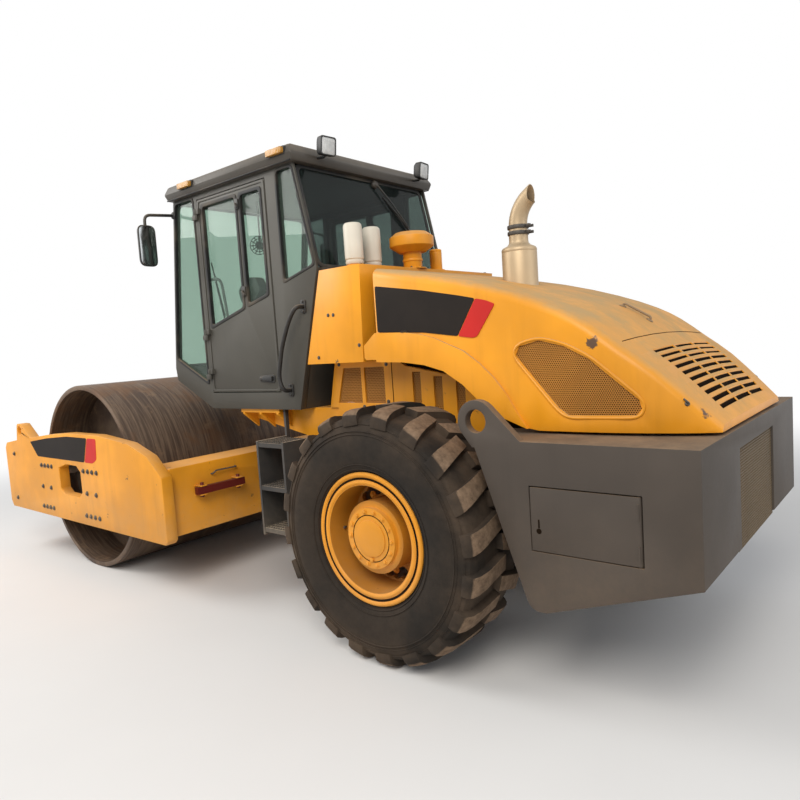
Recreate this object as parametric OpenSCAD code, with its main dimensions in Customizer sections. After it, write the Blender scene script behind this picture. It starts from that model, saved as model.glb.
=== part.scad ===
// Single-drum soil roller with a cab, built as separate parts.
// Millimetres. X points forward, Y to the left, Z up.
// The origin is on the ground under the middle of the machine.

/* [Overall] */
// Rear axle to drum axis
wheelbase = 3350; // [3300:10:3400]
// Rear axle to the back of the counterweight
rear_overhang = 1700; // [1690:5:1760]
// Drum axis to the front face of the yoke
front_overhang = 1440; // [1400:10:1480]

/* [Drum] */
// Outer diameter of the drum
drum_d = 1600; // [1560:10:1620]
// Width of the drum
drum_w = 2130; // [2090:5:2140]
// Thickness of the drum's rim
drum_wall = 40; // [30:1:50]
// How far the end webs sit inside the drum
web_inset = 360; // [320:10:400]
// Thickness of the end webs
web_t = 40; // [30:1:50]
// Outer radius of the drum's bearing tube
hub_tube_r = 210; // [180:5:240]
// Radius of the journal that carries the drum
journal_r = 110; // [100:5:120]
// Radius of the carrier plate in the drum end
carrier_r = 360; // [320:10:400]

/* [Yoke] */
// Gap between the drum's ends and the side plates
drum_gap = 45; // [40:1:60]
// Thickness of the side plates
plate_t = 90; // [80:5:100]
// Height of the plates' bottom edge
plate_z0 = 420; // [400:5:450]
// Height of the plates' top edge over the drum
plate_z1 = 1200; // [1190:5:1240]
// Rear edge of the plates, behind the drum axis
plate_reach = 1430; // [1420:5:1440]
// Depth of the front beam
front_beam_d = 310; // [280:5:330]
// Bottom of the cross beams
beam_z0 = 460; // [450:5:480]
// Top of the cross beams
beam_z1 = 970; // [950:5:990]
// Rear beam's rear face, behind the drum axis
rear_beam_reach = 1390; // [1385:5:1400]
// Depth of the rear beam
rear_beam_d = 300; // [260:10:320]
// Radius of the lifting hole in the front lugs
front_eye_r = 40; // [30:1:45]
// Gap between the scrapers and the drum
scraper_gap = 22; // [15:1:30]

/* [Steering] */
// Steering pivot, behind the rear beam
pivot_back = 285; // [280:5:295]
// Radius of the steering pin
pin_r = 60; // [50:1:65]
// Radius of the knuckle around the pin
knuckle_r = 120; // [110:1:130]
// Height of the swing axis
swing_z = 700; // [690:5:710]
// Radius of the swing journal
swing_r = 100; // [90:1:110]
// Radius of a running gap
run_gap = 0.05; // [0.03:0.01:0.09]
// Steering arm, ahead of the pivot
arm_x = 100; // [90:5:110]
// Steering arm, out from the middle
arm_y = 220; // [210:5:230]
// Cylinder foot, behind the pivot
foot_x = 620; // [610:5:630]
// Cylinder foot, out from the middle
foot_y = 240; // [230:5:250]
// Radius of a steering cylinder
barrel_r = 48; // [42:1:52]
// Radius of a steering rod
rod_r = 26; // [22:1:30]

/* [Wheels] */
// Radius over the tyre lugs
tyre_r = 720; // [715:1:730]
// Width of a tyre
tyre_w = 520; // [500:5:525]
// Distance between the tyres' middles
track = 1760; // [1750:5:1770]
// Height of the lugs
lug_h = 42; // [34:1:46]
// Lugs on one side of a tyre
lug_count = 20; // [18:1:22]
// Radius of the rim under the tyre
rim_r = 318; // [310:1:322]
// Radius of the rim's flanges
flange_r = 368; // [360:1:372]
// Radius of the wheel hub
hub_r = 205; // [190:1:215]
// Hand holes in the wheel disc
disc_holes = 5; // [4:1:6]
// Radius of the axle's spindle
spindle_r = 90; // [80:1:95]

/* [Rear frame] */
// Half distance over the frame rails
rail_y = 420; // [410:5:430]
// Width of a rail
rail_w = 80; // [70:5:90]
// Bottom of the rails
rail_z0 = 930; // [920:5:940]
// Top of the deck that carries the engine
deck_z = 1150; // [1145:5:1160]
// Half width of the deck
deck_hw = 575; // [560:5:580]
// Thickness of the deck and fork plates
plate_fork_t = 50; // [40:2:56]
// Radius of the axle tube
axle_r = 125; // [110:5:135]

/* [Counterweight] */
// Half width of the counterweight
cw_hw = 1005; // [1000:5:1020]
// Height of its top deck
cw_top = 1285; // [1275:5:1290]
// Height of its front bottom edge
cw_low = 478; // [470:2:490]
// Height of its rear bottom edge
cw_rear_low = 717; // [700:1:730]
// Thickness of its rear wall
cw_wall = 60; // [50:5:70]
// Radius of the lifting eye in its ears
rear_eye_r = 58; // [50:1:62]
// Outer radius of its ears
ear_r = 104; // [98:1:110]
// Thickness of its ears
ear_t = 50; // [40:2:60]
// Gap round a hinged panel
panel_gap = 6; // [5.5:0.5:8]
// Thickness of the access doors
access_t = 25; // [20:1:30]
// Depth of the pockets behind the access doors
pocket_d = 280; // [240:10:300]

/* [Hood] */
// Half width of the hood
hood_hw = 755; // [745:5:765]
// Bottom of the hood over the counterweight
hood_z0 = 1300; // [1298:1:1306]
// Front edge of the hood, ahead of the rear axle
hood_front = 150; // [140:2:160]
// Thickness of the hood
hood_t = 25; // [20:1:30]
// Radius of the edge between its side and its top
hood_edge_r = 52; // [40:2:60]
// Gap between the wheel-arch band and the tank's side
hood_clear = 6; // [5:0.5:8]
// How far the wheel-arch band stands out
arch_out = 20; // [12:1:24]
// Rows of slots in its rear
slot_rows = 10; // [8:1:10]
// First row of slots, ahead of the counterweight's back
slot_start = 352; // [340:2:360]
// Distance from row to row
slot_pitch = 31; // [29:0.5:31]
// Length of a slot along the machine
slot_w = 19; // [12:1:20]
// Radius of the silencer
stack_r = 105; // [95:5:115]
// Radius of the tail pipe
pipe_r = 56; // [50:1:60]
// Top of the exhaust pipe
stack_top = 2610; // [2580:10:2640]

/* [Tank] */
// Half width of the tank behind the cab
tank_hw = 750; // [740:5:760]
// Rear face of the tank, ahead of the rear axle
tank_rear = 255; // [250:1:265]
// Bottom of the tank
tank_z0 = 1680; // [1675:5:1690]
// Top of the tank
tank_z1 = 2265; // [2250:5:2280]
// Radius of a return filter
filter_r = 60; // [52:1:66]
// Radius of the air cleaner's cap
cap_r = 148; // [138:1:155]

/* [Cab] */
// Half width of the cab
cab_hw = 700; // [690:5:710]
// Thickness of the cab walls
cab_t = 50; // [44:2:54]
// Bottom of the cab
cab_z0 = 1375; // [1370:5:1380]
// Top of the cab walls
cab_z1 = 2990; // [2970:5:3010]
// Top of the roof
roof_z = 3140; // [3125:5:3160]
// Front edge of the roof, ahead of the rear axle
roof_front = 2255; // [2245:5:2300]
// Width of the slim posts at its glazed corners
post_w = 16; // [14:1:20]
// Thickness of the glass
glass_t = 8; // [6:1:10]
// Rear edge of the door, ahead of the rear axle
door_rear = 1115; // [1105:5:1125]
// Front edge of the door, ahead of the rear axle
door_front = 1905; // [1895:5:1915]
// Bottom edge of the door
door_z0 = 1500; // [1490:5:1510]
// Width of the door's frame
door_frame = 45; // [38:1:52]

/* [Steps] */
// Width of the steps
step_w = 280; // [260:5:290]
// Outer edge of the steps
step_y = 920; // [900:5:930]
// Thickness of a tread
tread_t = 30; // [24:1:36]

/* [Hidden] */
$fn = 48;
// One part to build, or all of them
overall_l = rear_overhang + wheelbase + front_overhang;
axle_x = rear_overhang - overall_l / 2;
drum_r = drum_d / 2;
plate_y0 = drum_w / 2 + drum_gap;
yoke_w = 2 * (plate_y0 + plate_t);
yoke_front = wheelbase + front_overhang;
plate_rear = wheelbase - plate_reach;
rear_beam_x = wheelbase - rear_beam_reach;
pivot = rear_beam_x - pivot_back;
cross_x = pivot - foot_x - 55;
carcass_r = tyre_r - lug_h;
wheel_y = track / 2;
fork_low = 440;
fork_high = 910;
hinge_x = (hood_front + tank_rear) / 2;
hinge_z = 2214;
hinge_y = 480;
ear_x = -668;
ear_z = cw_top + 90;
hinge_lug_r = 18;
hinge_pin_r = 9;
door_pin_r = 8;
pocket_x0 = -rear_overhang + 235;
pocket_x1 = -rear_overhang + 759;
access_axis_x = pocket_x0 + 18;
access_pin_r = 6;
ear_gap = 72;
eye_h = 58;
yellow = [0.95, 0.66, 0.17];
grey = [0.36, 0.32, 0.29];
cab_grey = [0.35, 0.34, 0.32];
dark = [0.12, 0.12, 0.12];
steel = [0.45, 0.40, 0.36];
glass = [0.45, 0.58, 0.52, 0.4];

// Moves a part drawn from the rear axle into the machine's frame
module from_axle() {
  translate([axle_x, 0, 0]) children();
}

// A side outline given in X and Z, made solid from y0 to y1
module slab(y0, y1, pts) {
  translate([0, y1, 0]) rotate([90, 0, 0]) linear_extrude(y1 - y0) polygon(pts);
}

// A box from its low corner to its high corner
module block(a, b) {
  translate(a) cube(b - a);
}

// The same shape on both sides
module both_sides() {
  children();
  mirror([0, 1, 0]) children();
}

// A shape mirrored to the right when side is -1
module on_side(side) {
  if (side > 0) {
    children();
  } else {
    mirror([0, 1, 0]) children();
  }
}

// A round bar from a to b
module bar(a, b, r) {
  d = b - a;
  l = norm(d);
  translate(a) rotate([0, acos(d[2] / l), atan2(d[1], d[0])]) cylinder(r = r, h = l);
}

// A disc or tube blank across the machine, centred on p
module cross_cyl(p, r, w) {
  translate(p) rotate([90, 0, 0]) cylinder(r = r, h = w, center = true);
}

// Drum: rim, two end webs and bearing tubes turned as one piece
module drum() {
  color(steel) translate([axle_x + wheelbase, 0, drum_r]) rotate([90, 0, 0]) rotate_extrude()
    union() {
      translate([drum_r - drum_wall, -drum_w / 2]) square([drum_wall, drum_w]);
      for (s = [-1, 1]) {
        translate([journal_r + run_gap, s * (drum_w / 2 - web_inset) - web_t / 2])
          square([drum_r - drum_wall - journal_r - run_gap + 1, web_t]);
        translate([journal_r + run_gap, s * (drum_w / 2 - web_inset + 60) - 120])
          square([hub_tube_r - journal_r, 240]);
      }
    }
}

// Carrier plates, journals and rubber buffers that hang the drum in the yoke
module drum_mounts() {
  y_in = drum_w / 2 - web_inset - 60;
  y_disc = drum_w / 2 - 80;
  color(dark) from_axle() both_sides() union() {
    translate([wheelbase, y_in, drum_r]) rotate([-90, 0, 0]) cylinder(r = journal_r, h = y_disc - y_in + 10);
    translate([wheelbase, y_disc, drum_r]) rotate([-90, 0, 0]) cylinder(r = carrier_r, h = 30);
    for (x = [-1, 1], z = [-1, 1])
      translate([wheelbase + x * 285, y_disc + 20, drum_r - 110 + z * 165]) rotate([-90, 0, 0])
        cylinder(r = 42, h = plate_y0 - y_disc - 20);
  }
}

// Outline of a yoke side plate
function plate_points() = [
  [plate_rear, plate_z0 + 30], [plate_rear + 30, plate_z0], [yoke_front - 40, plate_z0],
  [yoke_front, plate_z0 + 60], [yoke_front, 1010], [yoke_front - 40, 1060],
  [yoke_front - 300, 1095], [yoke_front - 330, 1235], [yoke_front - 350, 1255],
  [yoke_front - 430, 1255], [yoke_front - 460, 1235], [yoke_front - 620, 1130],
  [wheelbase + 440, plate_z1 - 28], [wheelbase + 30, plate_z1], [wheelbase - 510, plate_z1],
  [wheelbase - 980, plate_z1 - 45], [wheelbase - 1250, plate_z1 - 130], [plate_rear + 10, 930],
  [plate_rear, 910]];

// One side plate with its window and lifting lug
module side_plate(side) {
  color(yellow) from_axle() on_side(side) difference() {
    slab(plate_y0, yoke_w / 2, plate_points());
    slab(plate_y0 - 10, yoke_w / 2 + 10, [[wheelbase - 145, 700], [wheelbase - 145, 870],
      [wheelbase - 80, 920], [wheelbase + 110, 925], [wheelbase + 265, 885], [wheelbase + 265, 700],
      [wheelbase + 200, 655], [wheelbase - 80, 650]]);
    cross_cyl([yoke_front - 390, yoke_w / 2 - plate_t / 2, 1190], front_eye_r, plate_t + 20);
  }
}

module left_side_plate() {
  side_plate(1);
}

module right_side_plate() {
  side_plate(-1);
}

// Front cross beam of the yoke
module front_beam() {
  color(yellow) from_axle()
    block([yoke_front - front_beam_d, -plate_y0, beam_z0 + 30], [yoke_front - 10, plate_y0, beam_z1 + 20]);
}

// Rear cross beam with the bore of the swing bearing
module rear_beam() {
  color(yellow) from_axle() difference() {
    block([rear_beam_x, -plate_y0, beam_z0], [rear_beam_x + rear_beam_d, plate_y0, beam_z1]);
    translate([rear_beam_x - 10, 0, swing_z]) rotate([0, 90, 0])
      cylinder(r = swing_r + run_gap, h = rear_beam_d + 20);
  }
}

// Scraper blades in front of the drum and behind it
module scrapers() {
  z = 640;
  reach = sqrt(drum_r * drum_r - (drum_r - z) * (drum_r - z)) + scraper_gap;
  color(dark) from_axle() {
    block([rear_beam_x + rear_beam_d + 0.1, -drum_w / 2 + 40, z], [wheelbase - reach, drum_w / 2 - 40, z + 30]);
    block([wheelbase + reach, -drum_w / 2 + 40, z], [yoke_front - front_beam_d - 0.1, drum_w / 2 - 40, z + 30]);
  }
}

// Red bar that locks the steering, stowed on the rear beam
module lock_bar() {
  y0 = plate_y0 - 610;
  color([0.5, 0.1, 0.1]) from_axle() union() {
    block([rear_beam_x - 75, y0, 745], [rear_beam_x - 30, y0 + 430, 800]);
    for (y = [y0 + 50, y0 + 380])
      block([rear_beam_x - 40, y - 25, 730], [rear_beam_x, y + 25, 790]);
    for (y = [y0 + 50, y0 + 380])
      translate([rear_beam_x - 52, y, 720]) cylinder(r = 14, h = 110);
  }
}

// Knuckle on the steering pin, its swing journal and the two steering arms
module hitch() {
  flange_x = rear_beam_x - 8;
  color(grey) from_axle() difference() {
    union() {
      translate([pivot, 0, fork_low + plate_fork_t + 6])
        cylinder(r = knuckle_r, h = fork_high - fork_low - plate_fork_t - 12);
      block([pivot, -95, swing_z - 130], [flange_x - 40, 95, swing_z + 130]);
      translate([flange_x - 50, 0, swing_z]) rotate([0, 90, 0]) cylinder(r = 190, h = 50);
      translate([flange_x - 10, 0, swing_z]) rotate([0, 90, 0])
        cylinder(r = swing_r, h = rear_beam_d + 10);
      for (z = [-1, 1])
        block([pivot + arm_x - 60, -arm_y - 60, swing_z + z * (ear_gap / 2 + 15) - 15],
          [pivot + arm_x + 60, arm_y + 60, swing_z + z * (ear_gap / 2 + 15) + 15]);
    }
    translate([pivot, 0, 0]) cylinder(r = pin_r + run_gap, h = 2000);
  }
}

// Direction and length of a steering cylinder at rest
function ram_vector() = [arm_x + foot_x, arm_y - foot_y];
function ram_angle() = atan2(arm_y - foot_y, arm_x + foot_x);
function ram_length() = norm(ram_vector());

// Barrel of a steering cylinder, with its foot eye
module barrel(side) {
  color(yellow) from_axle() on_side(side)
    translate([pivot - foot_x, foot_y, swing_z]) rotate([0, 0, ram_angle()])
    difference() {
      union() {
        translate([0, 0, -eye_h / 2]) cylinder(r = 50, h = eye_h);
        rotate([0, 90, 0]) cylinder(r = 28, h = 90);
        translate([80, 0, 0]) rotate([0, 90, 0]) cylinder(r = barrel_r, h = 350);
      }
      translate([0, 0, -eye_h]) cylinder(r = 25 + run_gap, h = 2 * eye_h);
      translate([120, 0, 0]) rotate([0, 90, 0]) cylinder(r = rod_r + run_gap, h = 400);
    }
}

module left_barrel() {
  barrel(1);
}

module right_barrel() {
  barrel(-1);
}

// Rod of a steering cylinder, with its eye between the hitch's ears
module ram_rod(side) {
  color(steel) from_axle() on_side(side)
    translate([pivot - foot_x, foot_y, swing_z]) rotate([0, 0, ram_angle()])
    difference() {
      union() {
        translate([270, 0, 0]) rotate([0, 90, 0]) cylinder(r = rod_r, h = ram_length() - 300);
        translate([ram_length(), 0, -eye_h / 2]) cylinder(r = 46, h = eye_h);
      }
      translate([ram_length(), 0, -eye_h]) cylinder(r = 25, h = 2 * eye_h);
    }
}

module left_rod() {
  ram_rod(1);
}

module right_rod() {
  ram_rod(-1);
}

// Plan of a fork plate, from the cross box to the steering pin
function fork_points() = [[cross_x - 10, -440], [cross_x + 250, -360], [pivot - 115, -140],
  [pivot + 5, -140], [pivot + 5, 140], [pivot - 115, 140], [cross_x + 250, 360], [cross_x - 10, 440]];

// Rails, deck, cross box and the fork with its steering pin
module rear_frame() {
  color(grey) from_axle() union() {
    both_sides() block([-950, rail_y - rail_w, rail_z0], [cross_x - 90, rail_y, deck_z - 10]);
    block([-950, -deck_hw, deck_z - 25], [cross_x - 95, deck_hw, deck_z]);
    block([cross_x - 100, -440, fork_low], [cross_x, 440, deck_z]);
    for (z = [fork_low, fork_high]) translate([0, 0, z]) {
      linear_extrude(plate_fork_t) polygon(fork_points());
      translate([pivot, 0, 0]) cylinder(r = 140, h = plate_fork_t);
    }
    translate([pivot, 0, fork_low - 10]) cylinder(r = pin_r, h = fork_high - fork_low + plate_fork_t + 20);
    both_sides() {
      translate([pivot - foot_x, foot_y, fork_low + 10]) cylinder(r = 25, h = fork_high - fork_low);
      for (z = [-1, 1])
        translate([pivot - foot_x, foot_y, swing_z + z * 62 - 25]) cylinder(r = 60, h = 50);
      for (z = [-1, 1])
        block([cross_x - 10, foot_y - 60, swing_z + z * 62 - 25], [pivot - foot_x, foot_y + 60, swing_z + z * 62 + 25]);
    }
  }
}

// Rear axle: tube, middle housing, seats under the rails and spindles
module rear_axle() {
  color(grey) from_axle() translate([0, 0, tyre_r]) union() {
    cross_cyl([0, 0, 0], axle_r, 2 * 560);
    cross_cyl([0, 0, 0], 190, 320);
    translate([0, 0, 0]) rotate([0, 90, 0]) cylinder(r = 90, h = 300);
    both_sides() {
      block([-110, rail_y - rail_w, 0], [110, rail_y, rail_z0 - tyre_r]);
      cross_cyl([0, 590, 0], 170, 80);
      cross_cyl([0, 700, 0], spindle_r, 240);
    }
  }
}

// Turned outline of the tyre without its lugs
function tyre_points() = [[rim_r, -212], [flange_r + 4, -212], [400, -tyre_w / 2 + 22],
  [460, -tyre_w / 2 + 4], [540, -tyre_w / 2], [610, -tyre_w / 2 + 12], [660, -tyre_w / 2 + 32],
  [carcass_r, -tyre_w / 2 + 70], [carcass_r, tyre_w / 2 - 70], [660, tyre_w / 2 - 32],
  [610, tyre_w / 2 - 12], [540, tyre_w / 2], [460, tyre_w / 2 - 4], [400, tyre_w / 2 - 22],
  [flange_r + 4, 212], [rim_r, 212]];

// Ring that the lugs are cut from
function lug_ring_points() = [[tyre_r - 97, -tyre_w / 2 + 10], [tyre_r - 45, -tyre_w / 2 + 12],
  [tyre_r - 22, -tyre_w / 2 + 28], [tyre_r - 8, -tyre_w / 2 + 58], [tyre_r, -tyre_w / 2 + 110],
  [tyre_r, tyre_w / 2 - 110], [tyre_r - 8, tyre_w / 2 - 58], [tyre_r - 22, tyre_w / 2 - 28],
  [tyre_r - 45, tyre_w / 2 - 12], [tyre_r - 97, tyre_w / 2 - 10]];

// Tread lugs of one half, slanted from the middle to the edge
function lug_points() = [[-75, -14], [10, -14], [52, 120], [104, tyre_w / 2 + 10],
  [-8, tyre_w / 2 + 10], [-40, 120]];

module tyre(side) {
  color(dark) from_axle() on_side(side) translate([0, wheel_y, tyre_r]) rotate([90, 0, 0]) union() {
    rotate_extrude() polygon(tyre_points());
    intersection() {
      rotate_extrude() polygon(lug_ring_points());
      union() {
        for (k = [0:lug_count - 1]) {
          rotate([0, 0, k * 360 / lug_count - 90]) rotate([0, 90, 0]) translate([0, 0, 630])
            rotate([0, 0, 90]) linear_extrude(130) polygon(lug_points());
          rotate([0, 0, (k + 0.5) * 360 / lug_count - 90]) rotate([0, 90, 0]) translate([0, 0, 630])
            rotate([0, 0, 90]) linear_extrude(130) mirror([0, 1]) polygon(lug_points());
        }
      }
    }
  }
}

module left_tyre() {
  tyre(1);
}

module right_tyre() {
  tyre(-1);
}

// Turned outline of the rim, its disc and the planetary hub
module rim_section() {
  translate([rim_r - 18, -228]) square([18, 456]);
  for (s = [-1, 1])
    translate([rim_r - 18, s * 221 - 7]) square([flange_r - rim_r + 18, 14]);
  translate([hub_r - 10, -15]) square([rim_r - hub_r + 2, 32]);
  translate([spindle_r + run_gap, -180]) square([hub_r - spindle_r - run_gap, 360]);
  translate([0, -50]) square([hub_r - 20, 230]);
  translate([0, 170]) square([hub_r - 35, 40]);
}

// Rim with its flanges, pierced disc and planetary hub
module rim(side) {
  mid_r = (hub_r + rim_r - 18) / 2;
  hole_r = (rim_r - 18 - hub_r) / 2 - 10;
  color(yellow) from_axle() on_side(side) translate([0, wheel_y, tyre_r]) rotate([-90, 0, 0])
    difference() {
      rotate_extrude() rim_section();
      for (k = [0:disc_holes - 1], a = [-12, 0, 12]) rotate([0, 0, (k + 0.25) * 360 / disc_holes + a])
        translate([mid_r, 0, -40]) cylinder(r = hole_r, h = 80);
    }
}

module left_rim() {
  rim(1);
}

module right_rim() {
  rim(-1);
}

// Side outline of the counterweight
function cw_points() = [[-rear_overhang, cw_top], [-rear_overhang, cw_rear_low], [-1000, cw_low],
  [-965, cw_low], [-935, cw_low + 9], [-915, cw_low + 26], [-902, cw_low + 52], [-790, 850], [-640, cw_top]];

// Counterweight with its radiator bay, side pockets and lifting ears
module counterweight() {
  color(grey) from_axle() union() {
    both_sides() translate([access_axis_x, cw_hw - access_t / 2, 760]) cylinder(r = access_pin_r, h = 330);
    difference() {
      union() {
        slab(-cw_hw, cw_hw, cw_points());
        both_sides() slab(cw_hw - ear_t, cw_hw, concat([[-930, cw_top - 40], [-640, cw_top - 40]],
          [for (a = [-30:15:135]) [ear_x + ear_r * cos(a), ear_z + ear_r * sin(a)]], [[-905, cw_top]]));
      }
      block([-950, -600, 0], [0, 600, 2000]);
      block([-rear_overhang + cw_wall, -450, 640], [-1000, 450, 2000]);
      block([-rear_overhang - 10, -380, 710], [-rear_overhang + cw_wall + 10, 380, 1190]);
      both_sides() block([pocket_x0, cw_hw - pocket_d, 770], [pocket_x1, cw_hw + 10, 1080]);
      cross_cyl([ear_x, 0, ear_z], rear_eye_r, 2 * cw_hw + 20);
    }
  }
}

// Hinged panel over a side pocket
module access_door(side) {
  y = cw_hw - access_t / 2;
  color(grey) from_axle() on_side(side) difference() {
    union() {
      block([access_axis_x, cw_hw - access_t, 770 + panel_gap], [pocket_x1 - panel_gap, cw_hw, 1080 - panel_gap]);
      translate([access_axis_x, y, 770 + panel_gap]) cylinder(r = access_t / 2, h = 310 - 2 * panel_gap);
    }
    translate([access_axis_x, y, 700]) cylinder(r = access_pin_r + run_gap, h = 500);
  }
}

module left_access_door() {
  access_door(1);
}

module right_access_door() {
  access_door(-1);
}

// Engine as one block on the deck
module engine() {
  color(dark) from_axle() block([-900, -340, deck_z], [20, 340, 1830]);
}

// Radiator behind the rear opening
module radiator() {
  color(dark) from_axle() block([-rear_overhang + cw_wall, -430, 640], [-1500, 430, 1270]);
}

// Screens beside the engine, standing on the deck
module side_screens() {
  color(yellow) from_axle() both_sides() difference() {
    slab(deck_hw - 30, deck_hw, [[-560, deck_z], [690, deck_z], [690, cab_z0 + 2], [770, cab_z0 + 2],
      [700, tank_z0], [hood_front + 10, tank_z0], [100, 1640],
      [-330, 1560], [-560, 1400]]);
    block([270, 0, 1410], [440, 1000, 1640]);
    slab(0, 1000, [[468, 1410], [688, 1410], [622, 1640], [468, 1640]]);
    for (k = [0:2])
      block([-15 - k * 158, 0, 1310], [47 - k * 158, 1000, 1600 - k * 28]);
  }
}

// Shape of the hood at shares of its length: share, top, half width, shoulder height
function hood_keys() = [[0, 2228, hood_hw, 4], [0.279, 2119, hood_hw, 8],
  [0.485, 2012, hood_hw, 14], [0.620, 1921, hood_hw, 22], [0.700, 1843, hood_hw - 3, 28],
  [0.776, 1733, hood_hw - 15, 26], [0.862, 1609, hood_hw - 40, 24],
  [0.952, 1441, hood_hw - 85, 20], [1, 1340, hood_hw - 125, 8]];

// A smooth curve through b and c, t of the way from b
function ease(a, b, c, d, t) = b + 0.5 * t * (c - a + t * (2 * a - 5 * b + 4 * c - d
  + t * (3 * (b - c) + d - a)));

// Stations along the hood, with one more between each pair of keys
function hood_stations() = let (k = hood_keys(), n = len(k), l = hood_front + rear_overhang - 12)
  [for (i = [0:n - 1], h = [0, 0.5]) if (i < n - 1 || h == 0)
    let (s = ease(k[max(i - 1, 0)], k[i], k[min(i + 1, n - 1)], k[min(i + 2, n - 1)], h))
    [hood_front - s[0] * l, s[1], s[2], s[3]]];

// One cross section of the hood, moved in by t, from the left foot over the top
function hood_section(s, t, z0) = let (hw = s[2] - t, zt = s[1] - t * (s[1] < 1920 ? 1.45 : 1.08),
  r = hood_edge_r - t, flat = hw - r,
  half = concat([[hw, z0]],
    [for (a = [0:22.5:90]) [flat + r * cos(a), zt - s[3] - r + r * sin(a)]],
    [for (f = [0.67, 0.33]) [flat * f, zt - s[3] * f * f]]),
  n = len(half))
  concat([for (p = half) [s[0], p[0], p[1]]], [[s[0], 0, zt]],
    [for (i = [n - 1:-1:0]) [s[0], -half[i][0], half[i][1]]]);

// A closed skin through equal sections
module loft(sections) {
  n = len(sections[0]);
  m = len(sections);
  pts = [for (s = sections, p = s) p];
  sides = [for (i = [0:m - 2], j = [0:n - 1]) each [
    [i * n + j, i * n + (j + 1) % n, (i + 1) * n + j],
    [i * n + (j + 1) % n, (i + 1) * n + (j + 1) % n, (i + 1) * n + j]]];
  ends = [[for (j = [n - 1:-1:0]) j], [for (j = [0:n - 1]) (m - 1) * n + j]];
  polyhedron(points = pts, faces = concat(sides, ends));
}

// Everything below the hood's lower edge and wheel arch
function arch_points() = [[400, 1000], [400, 1676], [160, 1676], [-50, 1668], [-200, 1648], [-330, 1611],
  [-450, 1536], [-560, 1437], [-690, 1360], [-820, 1310], [-880, hood_z0], [-2000, hood_z0], [-2000, 1000]];

// Raised band round the wheel arch
function band_points() = [[hood_front, 1660], [hood_front, 1846], [-65, 1837], [-170, 1822], [-273, 1795],
  [-464, 1714], [-560, 1645], [-639, 1572], [-710, 1485], [-772, 1382], [-830, hood_z0], [-820, 1290], [-560, 1400]];

// Window in the hood's side
function mesh_points() = [[-787, 1722], [-767, 1678], [-988, 1415], [-1038, 1379], [-1356, 1381],
  [-1379, 1412], [-1368, 1452], [-1151, 1645], [-1029, 1711], [-899, 1746]];

// Rows of slots in the hood's sloping rear, three to a row
module hood_slots() {
  for (k = [0:slot_rows - 1]) {
    x = slot_start - rear_overhang - k * slot_pitch;
    w = 475 - k * 4.4;
    for (y = [-w, -w / 3 + 9, w / 3 + 9])
      block([x - slot_w, y, 1310], [x, y + 2 * w / 3 - 18 + (y == -w / 3 + 9 ? 0 : 9), 1800]);
  }
}

// One-piece hood with wheel arches, side windows, slots and the silencer's hole
module hood() {
  outer = [for (s = hood_stations()) hood_section(s, 0, 1250)];
  inner = [for (s = hood_stations()) hood_section([
    s[0] == hood_front ? s[0] + 20 : (s[0] < 40 - rear_overhang ? s[0] + hood_t : s[0]), s[1], s[2], s[3]],
    hood_t, 1200)];
  color(yellow) from_axle() difference() {
    union() {
      difference() {
        union() {
          loft(outer);
          both_sides() slab(hood_hw - 5, hood_hw + arch_out, band_points());
          both_sides() slab(tank_hw + hood_clear, hood_hw + arch_out, [[hood_front - 40, 1690], [hood_front + 78, 1690],
            [hood_front + 90, 1702], [hood_front + 90, 1775], [hood_front, 1846], [hood_front - 40, 1846]]);
        }
        loft(inner);
        slab(-1200, 1200, arch_points());
        slab(-1200, 1200, mesh_points());
        hood_slots();
        translate([-457, 100, 1800]) cylinder(r = stack_r + 0.5, h = 800);
      }
      both_sides() hinge_lug(hinge_y - 29, hinge_y + 29, hood_front - 20);
    }
    both_sides() cross_cyl([hinge_x, hinge_y, hinge_z], hinge_pin_r + run_gap, 120);
  }
}

// Plates behind the hood's side windows
module hood_screens() {
  color(dark) from_axle() both_sides()
    slab(hood_hw - hood_t - 15, hood_hw - hood_t + 5, mesh_points());
}

// Silencer and tail pipe
module exhaust_stack() {
  color([0.6, 0.55, 0.48]) from_axle() translate([-457, 100, 0]) union() {
    translate([0, 0, 2020]) cylinder(r = stack_r, h = 280);
    translate([0, 0, 2290]) cylinder(r = pipe_r + 2, h = 200);
    translate([0, 0, 2385]) cylinder(r = 72, h = 40);
    bar([0, 0, 2470], [-25, 0, stack_top - 85], pipe_r);
    bar([-25, 0, stack_top - 85], [-75, 0, stack_top - 30], pipe_r);
    translate([-25, 0, stack_top - 85]) sphere(r = pipe_r + 1.5);
  }
}

// A rounded lug on the hood's hinge line, reaching to x1
module hinge_lug(y0, y1, x1) {
  cross_cyl([hinge_x, (y0 + y1) / 2, hinge_z], hinge_lug_r, y1 - y0);
  block([min(hinge_x, x1), y0, hinge_z - hinge_lug_r], [max(hinge_x, x1), y1, hinge_z]);
}

// Tank behind the cab, with the hood's hinge pins
module hydraulic_tank() {
  color(yellow) from_axle()
    union() {
      slab(-tank_hw, tank_hw, [[tank_rear + 20, tank_z0], [770, tank_z0], [600, tank_z1], [tank_rear, tank_z1]]);
      both_sides() {
        for (y = [hinge_y - 60, hinge_y + 30]) hinge_lug(y, y + 30, tank_rear + 5);
        cross_cyl([hinge_x, hinge_y, hinge_z], hinge_pin_r, 120);
      }
    }
}

// Two return filters on the tank
module return_filters() {
  color([0.85, 0.84, 0.78]) from_axle() for (k = [0, 1])
    translate([tank_rear + 205 + 40 * k, tank_hw - 185 - 220 * k, tank_z1]) cylinder(r = filter_r, h = 290);
}

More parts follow.
